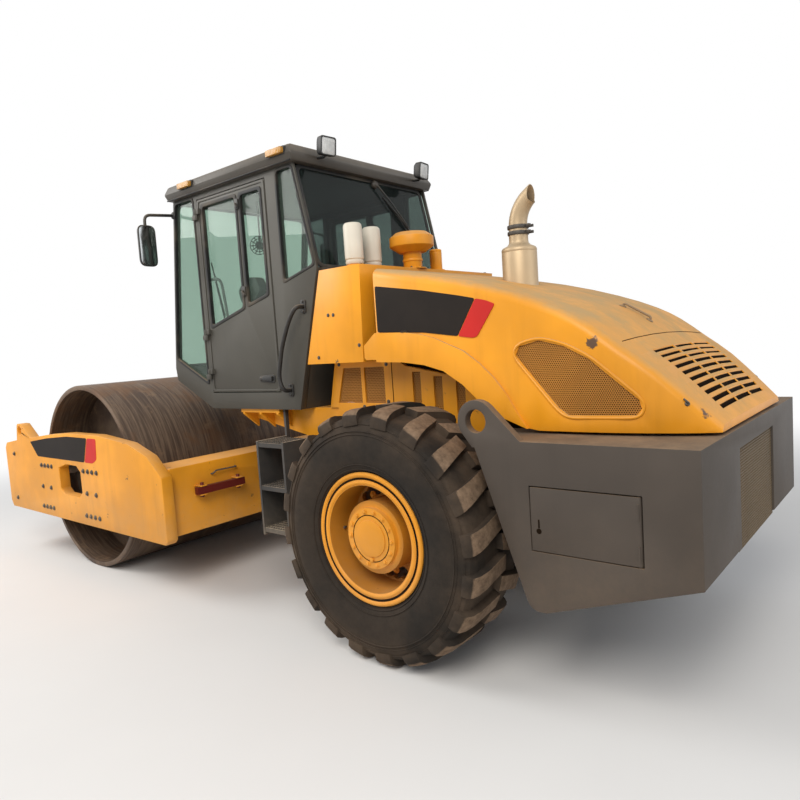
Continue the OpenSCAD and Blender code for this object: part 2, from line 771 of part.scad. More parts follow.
// Air cleaner with its wide cap
module air_cleaner() {
  color(yellow) from_axle() translate([tank_rear + 70, 140, 0]) union() {
    translate([0, 0, tank_z1]) cylinder(r = 62, h = 120);
    translate([0, 0, tank_z1 + 110]) cylinder(r1 = 90, r2 = cap_r, h = 40);
    translate([0, 0, tank_z1 + 150]) cylinder(r = cap_r, h = 60);
    translate([0, 0, tank_z1 + 210]) cylinder(r1 = cap_r, r2 = cap_r - 40, h = 30);
  }
}

// Filler neck on the tank
module tank_breather() {
  color(yellow) from_axle() translate([tank_rear + 70, -125, tank_z1]) cylinder(r = 42, h = 130);
}

// Arms and feet that carry the cab
module cab_supports() {
  color(yellow) from_axle() both_sides() union() {
    slab(500, 560, [[700, deck_z], [900, deck_z], [1000, 1170], [1630, 1300], [1630, cab_z0], [700, cab_z0]]);
    block([905, 250, deck_z], [1000, 500, cab_z0]);
    block([1180, 550, cab_z0 - 28], [1610, cab_hw - 20, cab_z0]);
    for (x = [1190, 1380, 1570]) translate([x, 0, 0]) rotate([90, 0, 90]) linear_extrude(22)
      polygon([[550, cab_z0 - 10], [cab_hw - 20, cab_z0 - 10], [cab_hw - 20, cab_z0 - 40], [550, cab_z0 - 150]]);
  }
}

// Side outline of the cab
function cab_points() = [[930, cab_z0], [1930, cab_z0], [2385, 1600], [2400, 1700], [2220, cab_z1],
  [820, cab_z1], [670, 2300]];

// Outlines of the side openings
function door_hole() = [[door_rear - panel_gap, door_z0 - panel_gap], [door_front + panel_gap, door_z0 - panel_gap],
  [door_front + panel_gap, cab_z1 - 38], [door_rear - panel_gap, cab_z1 - 38]];
function rear_quarter() = [[1000, cab_z1 - post_w], [820 + post_w, cab_z1 - post_w], [672 + post_w, 2318], [1000, 2235]];
function front_quarter() = [[1955, 1562], [2388 - post_w, 1768], [2220 - post_w, cab_z1 - post_w],
  [1955, cab_z1 - post_w]];

// Door hinges: heights, and the line they turn on
function door_hinges() = [1600, 1900, 2800];
function door_axis() = [door_front + panel_gap / 2, cab_hw + 16];

// Side wall of the cab with the door's opening, two windows and hinge pins
module cab_side(side) {
  color(cab_grey) from_axle() on_side(side) union() {
    difference() {
      slab(cab_hw - cab_t, cab_hw, cab_points());
      slab(cab_hw - cab_t - 10, cab_hw + 10, door_hole());
      slab(cab_hw - cab_t - 10, cab_hw + 10, rear_quarter());
      slab(cab_hw - cab_t - 10, cab_hw + 10, front_quarter());
      slab(cab_hw - cab_t - 10, cab_hw - post_w, [[600, 2299.7], [706, 2299.7], [856, cab_z1 + 1], [600, cab_z1 + 1]]);
    }
    for (z = door_hinges()) translate([door_axis()[0], door_axis()[1], z]) {
      cylinder(r = 15, h = 38);
      cylinder(r = door_pin_r, h = 76);
      block([6, -17, 0], [42, 8, 38]);
    }
  }
}

module left_cab_side() {
  cab_side(1);
}

module right_cab_side() {
  cab_side(-1);
}

// Fixed panes in the side walls
module quarter_glass() {
  color(glass) from_axle() both_sides() {
    slab(cab_hw - 20 - glass_t, cab_hw - 20, rear_quarter());
    slab(cab_hw - 20 - glass_t, cab_hw - 20, front_quarter());
  }
}

// Floor between the side walls
module cab_floor() {
  w = cab_hw - cab_t;
  color(cab_grey) from_axle() slab(-w, w, [[980, cab_z0], [1930, cab_z0], [1930, cab_z0 + 55], [965, cab_z0 + 55]]);
}

// Sloped panel under the windscreen
module cab_nose() {
  w = cab_hw - cab_t;
  color(cab_grey) from_axle() slab(-w, w, [[1930, cab_z0], [2385, 1600], [2400, 1700], [2350, 1700],
    [2338, 1632], [1930, cab_z0 + 55]]);
}

// Panel under the rear window
module cab_rear() {
  w = cab_hw - cab_t;
  color(cab_grey) from_axle() slab(-w, w, [[930, cab_z0], [980, cab_z0], [720, 2300], [670, 2300]]);
}

module windscreen() {
  w = cab_hw - cab_t;
  color(glass) from_axle() slab(-w, w, [[2398 - glass_t, 1700], [2398, 1700], [2218, cab_z1], [2218 - glass_t, cab_z1]]);
}

module rear_window() {
  w = cab_hw - 21 - glass_t;
  color(glass) from_axle() slab(-w, w, [[690, 2300], [690 + glass_t, 2300], [840 + glass_t, cab_z1], [840, cab_z1]]);
}

// Roof with sloped edges all round
module roof_shape() {
  intersection() {
    slab(-1000, 1000, [[790, cab_z1], [roof_front - 20, cab_z1], [roof_front, cab_z1 + 50],
      [roof_front - 40, roof_z - 40], [roof_front - 180, roof_z], [950, roof_z], [820, roof_z - 35], [775, cab_z1 + 50]]);
    translate([500, 0, 0]) rotate([90, 0, 90]) linear_extrude(2200) polygon([[-735, cab_z1], [735, cab_z1],
      [752, cab_z1 + 50], [735, roof_z - 45], [600, roof_z], [-600, roof_z], [-735, roof_z - 45],
      [-752, cab_z1 + 50]]);
  }
}

module cab_roof() {
  color(cab_grey) from_axle() roof_shape();
}

// Lamps at the front and rear edges of the roof
module work_lamps() {
  color(dark) from_axle() difference() {
    both_sides() {
      block([655, 460, 3045], [735, 560, 3135]);
      block([730, 490, 3060], [830, 530, 3085]);
      block([roof_front + 35, 440, 3035], [roof_front + 115, 560, 3125]);
      block([roof_front - 50, 480, 3060], [roof_front + 40, 520, 3085]);
    }
    roof_shape();
  }
}

// Amber markers on the roof's sides
module marker_lamps() {
  color([0.9, 0.45, 0.1]) from_axle() difference() {
    both_sides() for (x = [840, 1880])
      block([x, 730, 3042], [x + 150, 780, 3080]);
    roof_shape();
  }
}

// Pedestal of the operator's chair
module chair_base() {
  color(dark) from_axle() union() {
    block([1200, -190, cab_z0 + 55], [1580, 190, 1720]);
    block([1150, -240, 1700], [1640, 240, 1760]);
    slab(-60, 60, [[1110, 1700], [1170, 1700], [1170, 1758], [1149.6, 1758], [1149.6, 1770],
      [1149.6 - 130 / 6.3, 1900], [1090, 1900]]);
  }
}

module chair_cushion() {
  color([0.2, 0.2, 0.2]) from_axle() block([1190, -240, 1760], [1660, 240, 1870]);
}

module chair_back() {
  color([0.2, 0.2, 0.2]) from_axle()
    slab(-230, 230, [[1150, 1770], [1190, 1770], [1190, 1872], [1230, 1872], [1130, 2400], [1050, 2400]]);
}

// Height of the nose panel's inner face
function nose_z(x) = cab_z0 + 55 + (x - 1930) * (1632 - cab_z0 - 55) / 408;

// Dashboard and column
module console() {
  color(dark) from_axle() union() {
    slab(-200, 200, [[2050, nose_z(2050) + 0.3], [2200, nose_z(2200) + 0.3], [2230, 1800], [2190, 1950], [2080, 1990], [2060, 1900]]);
    bar([2100, 0, 1900], [1980, 0, 2093], 32);
  }
}

// Steering wheel on the column
module hand_wheel() {
  color(dark) from_axle() translate([1980, 0, 2093]) rotate([0, -atan2(120, 193), 0]) union() {
    rotate_extrude() translate([190, 0]) circle(r = 16);
    cylinder(r = 50, h = 24);
    for (a = [90, 210, 330]) rotate([0, 0, a])
      translate([30, -14, 2]) cube([160, 28, 12]);
  }
}

// Ladder under each side of the cab
module steps() {
  x0 = 1160 - step_w;
  color(dark) from_axle() both_sides() union() {
    for (x = [x0, 1160 - 20]) translate([x, 0, 0]) rotate([90, 0, 90]) linear_extrude(20)
      polygon(concat(x == x0 ? [[630, 1185]] : [[630, cab_z0], [660, cab_z0], [660, 1185]],
        [[step_y, 1185], [step_y, 540], [step_y - 220, 540], [630, 1120]]));
    for (z = [560, 850, 1145])
      block([x0 + 10, step_y - 230, z], [1150, step_y - 4, z + tread_t]);
  }
}

// Grab rails behind the doors
module handrails() {
  color(dark) from_axle() both_sides() union() {
    pts = [[820, cab_hw, 2060], [820, cab_hw + 75, 2060], [985, cab_hw + 75, 1800], [1040, cab_hw + 75, 1600],
      [1005, cab_hw + 75, 1510], [1005, cab_hw, 1510]];
    for (i = [0:len(pts) - 2]) bar(pts[i], pts[i + 1], 15);
    for (i = [1:len(pts) - 2]) translate(pts[i]) sphere(r = 16.5);
  }
}

// Mirrors on arms beside the windscreen
module mirrors() {
  color(dark) from_axle() both_sides() union() {
    bar([2226, cab_hw + 1.5, 2890], [2240, 945, 2870], 12);
    bar([2240, 945, 2870], [2240, 945, 2600], 12);
    translate([2240, 945, 2870]) sphere(r = 13.5);
    hull() for (y = [912, 978], z = [2520, 2758])
      translate([2222, y, z]) rotate([0, 90, 0]) cylinder(r = 42, h = 40);
  }
}

// Outline of a door
function door_points() = [[door_rear, door_z0], [door_front, door_z0], [door_front, cab_z1 - 44],
  [door_rear, cab_z1 - 44]];
function door_pane_rear() = [[door_rear + door_frame, 2170], [1405, 2110], [1405, cab_z1 - 44 - door_frame],
  [door_rear + door_frame, cab_z1 - 44 - door_frame]];
function door_pane_front() = [[1435, 2100], [door_front - door_frame, 1985],
  [door_front - door_frame, cab_z1 - 44 - door_frame], [1435, cab_z1 - 44 - door_frame]];

// Door with two panes
module door(side) {
  color(cab_grey) from_axle() on_side(side) difference() {
    union() {
      slab(cab_hw - 40, cab_hw, door_points());
      for (z = door_hinges()) translate([door_axis()[0], door_axis()[1], z + 40]) {
        cylinder(r = 15, h = 40);
        block([-40, -17, 0], [-6, 8, 40]);
      }
    }
    slab(cab_hw - 60, cab_hw + 10, door_pane_rear());
    slab(cab_hw - 60, cab_hw + 10, door_pane_front());
    translate([door_axis()[0], door_axis()[1], 0]) cylinder(r = door_pin_r + run_gap, h = 4000);
  }
}

module door_glass(side) {
  color(glass) from_axle() on_side(side) union() {
    slab(cab_hw - 20 - glass_t, cab_hw - 20, door_pane_rear());
    slab(cab_hw - 20 - glass_t, cab_hw - 20, door_pane_front());
  }
}

module left_door() {
  door(1);
}

module right_door() {
  door(-1);
}

module left_door_glass() {
  door_glass(1);
}

module right_door_glass() {
  door_glass(-1);
}

rear_frame();
counterweight();
rear_axle();
engine();
radiator();
side_screens();
hydraulic_tank();
return_filters();
air_cleaner();
tank_breather();
cab_supports();
cab_floor();
cab_nose();
left_cab_side();
right_cab_side();
cab_rear();
cab_roof();
windscreen();
rear_window();
quarter_glass();
chair_base();
chair_cushion();
chair_back();
console();
hand_wheel();
steps();
handrails();
mirrors();
work_lamps();
marker_lamps();
hood();
hood_screens();
exhaust_stack();
left_tyre();
left_rim();
right_tyre();
right_rim();
hitch();
left_side_plate();
right_side_plate();
front_beam();
rear_beam();
drum_mounts();
scrapers();
lock_bar();
drum();
left_door();
left_door_glass();
right_door();
right_door_glass();
left_access_door();
right_access_door();
left_barrel();
left_rod();
right_barrel();
right_rod();
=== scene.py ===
import bmesh
import bpy
import math
from mathutils import Matrix, Vector
from mathutils.bvhtree import BVHTree


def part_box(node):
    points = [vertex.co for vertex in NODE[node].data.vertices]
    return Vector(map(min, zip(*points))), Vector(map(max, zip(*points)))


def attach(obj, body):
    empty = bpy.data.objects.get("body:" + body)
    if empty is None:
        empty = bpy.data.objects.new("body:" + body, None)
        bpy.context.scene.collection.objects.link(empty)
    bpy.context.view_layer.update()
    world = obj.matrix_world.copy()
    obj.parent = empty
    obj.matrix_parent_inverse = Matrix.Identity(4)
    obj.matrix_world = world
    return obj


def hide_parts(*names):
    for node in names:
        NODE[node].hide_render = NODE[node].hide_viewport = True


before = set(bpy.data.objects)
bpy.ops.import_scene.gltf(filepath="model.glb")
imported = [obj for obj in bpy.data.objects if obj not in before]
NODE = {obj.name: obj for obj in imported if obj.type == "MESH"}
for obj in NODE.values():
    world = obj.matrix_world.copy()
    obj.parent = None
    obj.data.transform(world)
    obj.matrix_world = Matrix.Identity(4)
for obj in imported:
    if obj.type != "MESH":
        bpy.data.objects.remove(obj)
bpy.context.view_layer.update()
AX = -1.545  # the rear axle's place along the machine
AXLE_Z = 0.72  # and its height
SIDES = ((1, "left"), (-1, "right"))
scene = bpy.context.scene


def P(x, y, z):
    """A point measured from the rear axle, in the machine's frame."""
    return Vector((x + AX, y, z))


def V(*parts):
    """A direction or a shift."""
    return Vector(parts)


def rect(u0, v0, u1, v1):
    """The corners of a rectangle."""
    return [(u0, v0), (u1, v0), (u1, v1), (u0, v1)]


# Camera at the photo's place

cam = bpy.data.cameras.new("photo_view")
FOCAL_PIXELS = 656.659
PHOTO_SIDE = 800
SENSOR = 36.0
cam.sensor_width = SENSOR
cam.lens = FOCAL_PIXELS / PHOTO_SIDE * SENSOR
cam_obj = bpy.data.objects.new("photo_view", cam)
scene.collection.objects.link(cam_obj)
yaw, pitch, roll = (math.radians(a) for a in (-50.187, -4.877, -3.846))
ahead = V(math.cos(pitch) * math.cos(yaw), math.cos(pitch) * math.sin(yaw), math.sin(pitch))
flat_right = ahead.cross(V(0, 0, 1)).normalized()
flat_up = flat_right.cross(ahead)
cam_right = math.cos(roll) * flat_right + math.sin(roll) * flat_up
cam_up = -math.sin(roll) * flat_right + math.cos(roll) * flat_up
cam_place = Matrix.Translation(P(-2.424, 3.669, 1.774))
cam_obj.matrix_world = cam_place @ Matrix((cam_right, cam_up, -ahead)).transposed().to_4x4()
scene.camera = cam_obj
scene.view_settings.view_transform = "Standard"


# Materials

class Graph:
    """Small helper that builds one node material."""

    def __init__(self, name):
        self.mat = bpy.data.materials.new(name)
        self.mat.use_nodes = True
        self.nt = self.mat.node_tree
        self.nt.nodes.clear()
        self.out = self.new("OutputMaterial").inputs[0]
        self.bsdf = self.new("BsdfPrincipled")
        self.put(self.out, self.bsdf.outputs[0])
        coords = self.new("TexCoord")
        self.pos = coords.outputs["Object"]
        self.x, self.y, self.z = self.split(self.pos)
        self.nx, _, self.nz = self.split(coords.outputs["Normal"])
        self.up = self.split(self.new("NewGeometry").outputs["Normal"])["Z"]

    def new(self, kind):
        return self.nt.nodes.new("ShaderNode" + kind)

    def put(self, socket, value):
        """Links a socket to another, or sets its value."""
        if isinstance(value, bpy.types.NodeSocket):
            self.nt.links.new(value, socket)
        elif isinstance(value, (tuple, list)) and len(value) == 3 and socket.type == "RGBA":
            socket.default_value = (*value, 1.0)
        else:
            socket.default_value = value

    def fill(self, node, **values):
        for key, value in values.items():
            self.put(node.inputs[key.replace("_", " ")], value)

    def split(self, vector):
        n = self.new("SeparateXYZ")
        self.put(n.inputs[0], vector)
        return n.outputs

    def math(self, op, a, b=0.0, clamp=False):
        n = self.new("Math")
        n.operation = op
        n.use_clamp = clamp
        self.put(n.inputs[0], a)
        self.put(n.inputs[1], b)
        return n.outputs[0]

    def plus(self, a, b, clamp=False):
        return self.math("ADD", a, b, clamp)

    def times(self, a, b, clamp=False):
        return self.math("MULTIPLY", a, b, clamp)

    def step(self, value, low, high):
        """Rises smoothly from 0 at low to 1 at high."""
        n = self.new("MapRange")
        n.interpolation_type = "SMOOTHSTEP"
        for socket, v in zip(n.inputs, (value, low, high)):
            self.put(socket, v)
        return n.outputs[0]

    def from_axle(self):
        """Distances from the rear axle: along x, along z, and square to the axle."""
        dx = self.math("SUBTRACT", self.x, AX)
        dz = self.math("SUBTRACT", self.z, AXLE_Z)
        return dx, dz, self.math("SQRT", self.plus(self.times(dx, dx), self.times(dz, dz)))

    def distance(self, at):
        n = self.new("VectorMath")
        n.operation = "DISTANCE"
        self.put(n.inputs[0], self.pos)
        n.inputs[1].default_value = at
        return n.outputs["Value"]

    def scaled(self, x, y, z):
        n = self.new("Mapping")
        self.fill(n, Vector=self.pos, Scale=(x, y, z))
        return n.outputs[0]

    def noise(self, scale, detail=4.0, rough=0.55, vec=None):
        n = self.new("TexNoise")
        self.fill(n, Vector=vec or self.pos, Scale=scale, Detail=detail, Roughness=rough)
        return n.outputs[0]

    def mix(self, fac, a, b):
        n = self.new("Mix")
        n.data_type = "RGBA"
        for k, value in ((0, fac), (6, a), (7, b)):
            self.put(n.inputs[k], value)
        return n.outputs[2]

    def bump(self, height, strength, distance):
        n = self.new("Bump")
        self.fill(n, Height=height, Strength=strength, Distance=distance)
        self.put(self.bsdf.inputs["Normal"], n.outputs[0])

    def set(self, **values):
        self.fill(self.bsdf, **values)
        return self.mat


PALE_TAN = (0.47, 0.37, 0.25)


def tone(colour, share):
    """A share of a colour."""
    return tuple(c * share for c in colour)


def paint(name, base, rough=0.38, dust=0.5, soil=PALE_TAN, low=0.9, chips=0.0, streak=0.3, metal=0.0,
          scars=(), top_dust=0.95, gloss=0.35, recess_shade=None):
    """Machine paint: uneven colour, dust on upper faces, streaks down the sides and soil near the ground.

    scars are (place, size) of bare spots; the last argument is (from, full, full, to): a ring of painted
    shade round the axle, for the shadow in the wheel's deep dish.
    """
    g = Graph(name)
    shade = g.noise(1.7, 3.0)
    fine = g.noise(34.0, 6.0, 0.7)
    dark = tone(base, 0.8)
    col = g.mix(g.step(shade, 0.35, 0.68), dark, base)
    runs = g.noise(9.0, 3.0, 0.6, g.scaled(1.0, 1.0, 0.09))
    col = g.mix(g.times(g.step(runs, 0.52, 0.75), streak), col, tone(base, 0.62))
    top = g.step(g.plus(g.up, g.times(shade, 0.5)), 0.55, 1.25)
    ground = g.step(g.math("SUBTRACT", low, g.z), -0.15, 0.55)
    patch = g.plus(g.times(g.noise(4.2, 5.0, 0.62), 0.75), g.times(fine, 0.35))
    patch = g.step(patch, 0.38, 0.72)
    film = g.math("MAXIMUM", g.times(top, top_dust), g.times(ground, 0.75))
    film = g.times(film, g.plus(g.times(patch, 0.55), 0.42))
    film = g.plus(film, g.times(patch, 0.06))
    film = g.times(film, dust, clamp=True)
    dusty = g.mix(fine, tone(soil, 0.8), soil)
    col = g.mix(film, col, dusty)
    if chips:
        spot = g.times(g.step(g.noise(11.0, 6.0, 0.72), 0.665, 0.69), chips)
        col = g.mix(spot, col, (0.06, 0.045, 0.035))
    # Painted shade: a darker ring round the axle stands in for the shadow in the wheel's deep dish.
    if recess_shade:
        far = g.from_axle()[2]
        shadow = g.math("SUBTRACT", g.step(far, *recess_shade[:2]), g.step(far, *recess_shade[2:]))
        col = g.mix(g.times(shadow, 0.48), col, (0.09, 0.035, 0.01))
    for at, size in scars:
        gone = g.plus(g.distance(at), g.times(g.noise(38.0, 4.0, 0.7), size * 1.4))
        col = g.mix(g.step(gone, size * 1.25, size * 1.05), col, (0.1, 0.055, 0.03))
    r = g.plus(g.times(film, 0.45), g.plus(rough, g.times(fine, 0.1)), clamp=True)
    g.bump(g.plus(fine, g.times(film, 0.6)), 0.1, 0.0015)
    return g.set(Base_Color=col, Roughness=r, Metallic=metal, Specular_IOR_Level=gloss)


def rubber(name):
    """Tyre rubber: near black in the grooves, tan dust on the worn lug tops and over the sidewall."""
    g = Graph(name)
    fine = g.noise(26.0, 6.0, 0.7)
    big = g.noise(3.1, 4.0)
    dx, dz, far = g.from_axle()
    away = g.math("DIVIDE", g.plus(g.times(g.nx, dx), g.times(g.nz, dz)), far)
    tip = g.times(g.step(away, 0.45, 0.75), g.step(far, 0.682, 0.692))
    muddy = g.plus(0.1, g.times(g.step(far, 0.52, 0.66), 0.22))
    wall = g.times(g.step(big, 0.3, 0.72), muddy)
    base = g.mix(fine, (0.01, 0.0085, 0.007), (0.026, 0.021, 0.017))
    worn = g.plus(0.6, g.times(g.step(fine, 0.3, 0.66), 0.4))
    film = g.math("MAXIMUM", g.times(tip, worn), wall)
    col = g.mix(film, base, g.mix(fine, (0.15, 0.095, 0.058), (0.27, 0.185, 0.12)))
    g.bump(g.plus(fine, g.noise(140.0, 2.0)), 0.35, 0.002)
    return g.set(Base_Color=col, Roughness=0.88, Specular_IOR_Level=0.22)


def drum_steel(name):
    """Rolled steel with scuffs round the drum, rust patches and dried soil."""
    g = Graph(name)
    scuffs = g.noise(7.0, 5.0, 0.65, g.scaled(0.35, 7.0, 0.35))
    patch = g.noise(2.2, 6.0, 0.68)
    fine = g.noise(48.0, 5.0, 0.7)
    col = g.mix(g.step(scuffs, 0.36, 0.66), (0.07, 0.044, 0.03), (0.17, 0.115, 0.075))
    col = g.mix(g.times(g.step(patch, 0.5, 0.66), 0.75), col, (0.15, 0.075, 0.034))
    col = g.mix(g.times(g.step(g.noise(5.2, 7.0, 0.7), 0.55, 0.68), 0.6), col, (0.24, 0.15, 0.085))
    g.bump(g.plus(scuffs, fine), 0.18, 0.003)
    return g.set(Base_Color=col, Roughness=g.plus(0.38, g.times(patch, 0.4)), Metallic=0.35)


def plastic(name, base, rough=0.5, dust=0.25, grain=260.0, gloss=0.35):
    """Moulded plastic, rubber trim or bare casting with a little dust on top."""
    g = Graph(name)
    fine = g.noise(grain, 2.0)
    big = g.noise(3.3, 4.0)
    top = g.step(g.plus(g.up, g.times(big, 0.4)), 0.55, 1.2)
    patch = g.times(g.step(big, 0.45, 0.7), dust * 0.4)
    film = g.plus(g.times(top, dust), patch, clamp=True)
    col = g.mix(film, g.mix(big, tone(base, 0.8), base), PALE_TAN)
    g.bump(fine, 0.12, 0.0008)
    return g.set(Base_Color=col, Roughness=g.plus(rough, g.times(film, 0.4), clamp=True),
                 Specular_IOR_Level=gloss)


def glass(name, tint, through):
    """Tinted pane with a film of dust; shadow rays and light off dull faces pass straight through."""
    g = Graph(name)
    film = g.step(g.noise(2.6, 5.0, 0.6), 0.42, 0.78)
    hazy = g.mix(g.times(film, 0.12), tint, tone(tint, 0.8))
    g.set(Base_Color=hazy, Roughness=g.times(film, 0.02), IOR=1.2, Transmission_Weight=through)
    rays = g.new("LightPath").outputs
    clear = g.new("BsdfTransparent")
    clear.inputs[0].default_value = (*[0.5 + 0.5 * c for c in tint], 1.0)
    mixer = g.new("MixShader")
    passing = g.math("MAXIMUM", rays["Is Shadow Ray"], rays["Is Diffuse Ray"])
    for socket, source in zip(mixer.inputs, (passing, g.bsdf.outputs[0], clear.outputs[0])):
        g.put(socket, source)
    g.put(g.out, mixer.outputs[0])
    return g.mat


def fabric(name, base):
    """Woven cover with a fine check of threads."""
    g = Graph(name)
    a = g.math("SINE", g.times(g.plus(g.x, g.z), 1400.0))
    b = g.math("SINE", g.times(g.y, 1400.0))
    weave = g.times(a, b)
    col = g.mix(g.step(g.noise(9.0, 4.0), 0.3, 0.7), tone(base, 0.7), base)
    g.bump(weave, 0.4, 0.001)
    return g.set(Base_Color=col, Roughness=0.92)


def lens(name, base):
    """Ribbed lamp glass."""
    g = Graph(name)
    rib = g.math("SINE", g.times(g.plus(g.x, g.y), 420.0))
    col = g.mix(g.step(g.noise(20.0, 3.0), 0.3, 0.7), tone(base, 0.75), base)
    g.bump(rib, 0.35, 0.002)
    return g.set(Base_Color=col, Roughness=0.3, Coat_Weight=0.25, Specular_IOR_Level=0.3)


MAT = {
    "yellow": paint("yellow_paint", (0.86, 0.345, 0.014), 0.36, dust=0.36, chips=0.8),
    # The rims carry a ring of painted shade in the dish between the hub and the outer ring.
    "rim": paint("rim_paint", (0.84, 0.33, 0.012), 0.36, dust=0.3, chips=0.6,
                 recess_shade=(0.165, 0.215, 0.3, 0.303)),
    "hood": paint("hood_paint", (0.86, 0.345, 0.014), 0.34, dust=0.62, soil=(0.52, 0.335, 0.145),
                  top_dust=1.9, scars=((P(-1.168, 0.75, 1.72), 0.056), (P(-1.637, 0.648, 1.389), 0.052))),
    "grey": paint("grey_paint", (0.074, 0.06, 0.049), 0.5, dust=0.22, soil=(0.3, 0.2, 0.12), low=1.0,
                  chips=0.4, top_dust=3.4, gloss=0.25),
    "frame": paint("frame_paint", (0.065, 0.056, 0.05), 0.55, dust=0.6, soil=(0.3, 0.24, 0.18), low=1.2),
    "cab": paint("cab_paint", (0.072, 0.067, 0.055), 0.44, dust=0.16, soil=(0.3, 0.25, 0.18), low=1.2,
                 streak=0.2, gloss=0.3),
    "roof": paint("roof_paint", (0.07, 0.062, 0.052), 0.44, dust=0.5, soil=(0.36, 0.29, 0.21),
                  streak=0.1, gloss=0.3),
    "black": paint("black_paint", (0.022, 0.021, 0.02), 0.48, dust=0.5, soil=(0.36, 0.28, 0.2),
                   low=1.3, streak=0.1),
    "step": paint("step_paint", (0.045, 0.042, 0.04), 0.55, dust=0.9, soil=(0.42, 0.33, 0.23), low=0.7,
                  streak=0.1),
    "plastic": plastic("black_plastic", (0.025, 0.025, 0.025)),
    "console": plastic("console_plastic", (0.05, 0.05, 0.052), 0.6, 0.15),
    "tyre": rubber("tyre_rubber"),
    "drum": drum_steel("drum_steel"),
    "glass": glass("green_glass", (0.5, 0.62, 0.55), 0.95),
    # The rear window uses a darker copy of the green glass: painted shade, so the rear pane reads darker
    # than the lit side panes.
    "dark_glass": glass("dark_glass", (0.11, 0.14, 0.135), 0.93),
    "fabric": fabric("chair_fabric", (0.05, 0.05, 0.055)),
    "amber": lens("amber_lens", (0.5, 0.24, 0.035)),
    "white": paint("white_paint", (0.76, 0.71, 0.6), 0.4, dust=0.4, streak=0.2),
    "stack": paint("stack_steel", (0.56, 0.42, 0.26), 0.42, dust=0.35, metal=0.45, streak=0.5),
    "rod": paint("rod_steel", (0.55, 0.54, 0.52), 0.2, dust=0.2, metal=0.9, streak=0.1),
    "red": paint("red_paint", (0.13, 0.012, 0.008), 0.4, dust=0.15, low=0.5),
    "core": plastic("core_metal", (0.018, 0.018, 0.018), 0.7, 0.2, 90.0),
    "iron": plastic("engine_iron", (0.03, 0.03, 0.032), 0.65, 0.2, 60.0),
    "bolt": paint("bolt_steel", (0.1, 0.09, 0.08), 0.5, dust=0.4, metal=0.6),
    "ybolt": paint("painted_bolts", (0.84, 0.33, 0.013), 0.4, dust=0.22),
    "decal": paint("band_black", (0.017, 0.013, 0.011), 0.55, dust=0.16, streak=0.1, gloss=0.12),
    "decal_red": paint("band_red", (0.6, 0.024, 0.02), 0.45, dust=0.15, streak=0.2, gloss=0.2),
    "seal": plastic("seal_rubber", (0.016, 0.016, 0.016), 0.62, 0.35, 120.0),
    "mesh": paint("mesh_sheet", (0.46, 0.19, 0.026), 0.5, dust=0.35, soil=(0.3, 0.19, 0.1)),
    "mirror": paint("mirror_glass", (0.3, 0.31, 0.31), 0.1, dust=0.2, metal=1.0, streak=0.05),
    "lamp": lens("lamp_glass", (0.62, 0.63, 0.62)),
    # Near black: painted shade behind the screens, grilles and hood slots and in the rim grooves; also the
    # hood seam, exhaust soot and lock faces.
    "void": plastic("dark_trim_and_painted_shade", (0.014, 0.008, 0.004), 0.9, 0.06, 40.0, 0.04),
    "dial": plastic("dial_face", (0.32, 0.33, 0.33), 0.35, 0.1, 60.0),
    "handle": paint("worn_handle", (0.3, 0.2, 0.11), 0.5, dust=0.6, soil=(0.46, 0.32, 0.19)),
    "rear_mesh": paint("rear_mesh_sheet", (0.12, 0.08, 0.04), 0.5, dust=0.3, gloss=0.25),
    "mat": plastic("floor_mat", (0.03, 0.029, 0.027), 0.8, 0.55, 90.0),
}
LOOK = {
    "yellow": "cab_supports hydraulic_tank air_cleaner tank_breather side_screens left_side_plate"
              " right_side_plate front_beam rear_beam left_barrel right_barrel",
    "rim": "left_rim right_rim",
    "hood": "hood",
    "grey": "counterweight left_access_door right_access_door",
    "frame": "rear_frame rear_axle hitch",
    "cab": "cab_floor cab_nose left_cab_side right_cab_side cab_rear left_door right_door",
    "roof": "cab_roof",
    "black": "handrails drum_mounts scrapers",
    "step": "steps",
    "plastic": "mirrors work_lamps chair_base hood_screens",
    "console": "console hand_wheel",
    "fabric": "chair_cushion chair_back",
    "tyre": "left_tyre right_tyre",
    "glass": "windscreen quarter_glass left_door_glass right_door_glass",
    "dark_glass": "rear_window",
    "amber": "marker_lamps",
    "white": "return_filters",
    "stack": "exhaust_stack",
    "drum": "drum",
    "rod": "left_rod right_rod",
    "red": "lock_bar",
    "iron": "engine",
    "core": "radiator",
}
SLOT = {look: slot for slot, looks in {
    "yellow_paint": "yellow ybolt mesh handle rim",
    "hood_moulding": "hood",
    "grey_paint": "grey frame",
    "cab_paint": "cab",
    "roof_moulding": "roof",
    "black_paint": "black step bolt decal rear_mesh",
    "black_plastic": "plastic console seal void dial mat",
    "chair_fabric": "fabric",
    "tyre_rubber": "tyre",
    "pane": "glass dark_glass lamp",
    "amber_lens": "amber",
    "white_paint": "white",
    "stack_steel": "stack",
    "worn_steel": "drum rod mirror",
    "red_paint": "red decal_red",
    "engine_iron": "iron",
    "core_metal": "core",
}.items() for look in looks.split()}


# Helpers that make and dress meshes

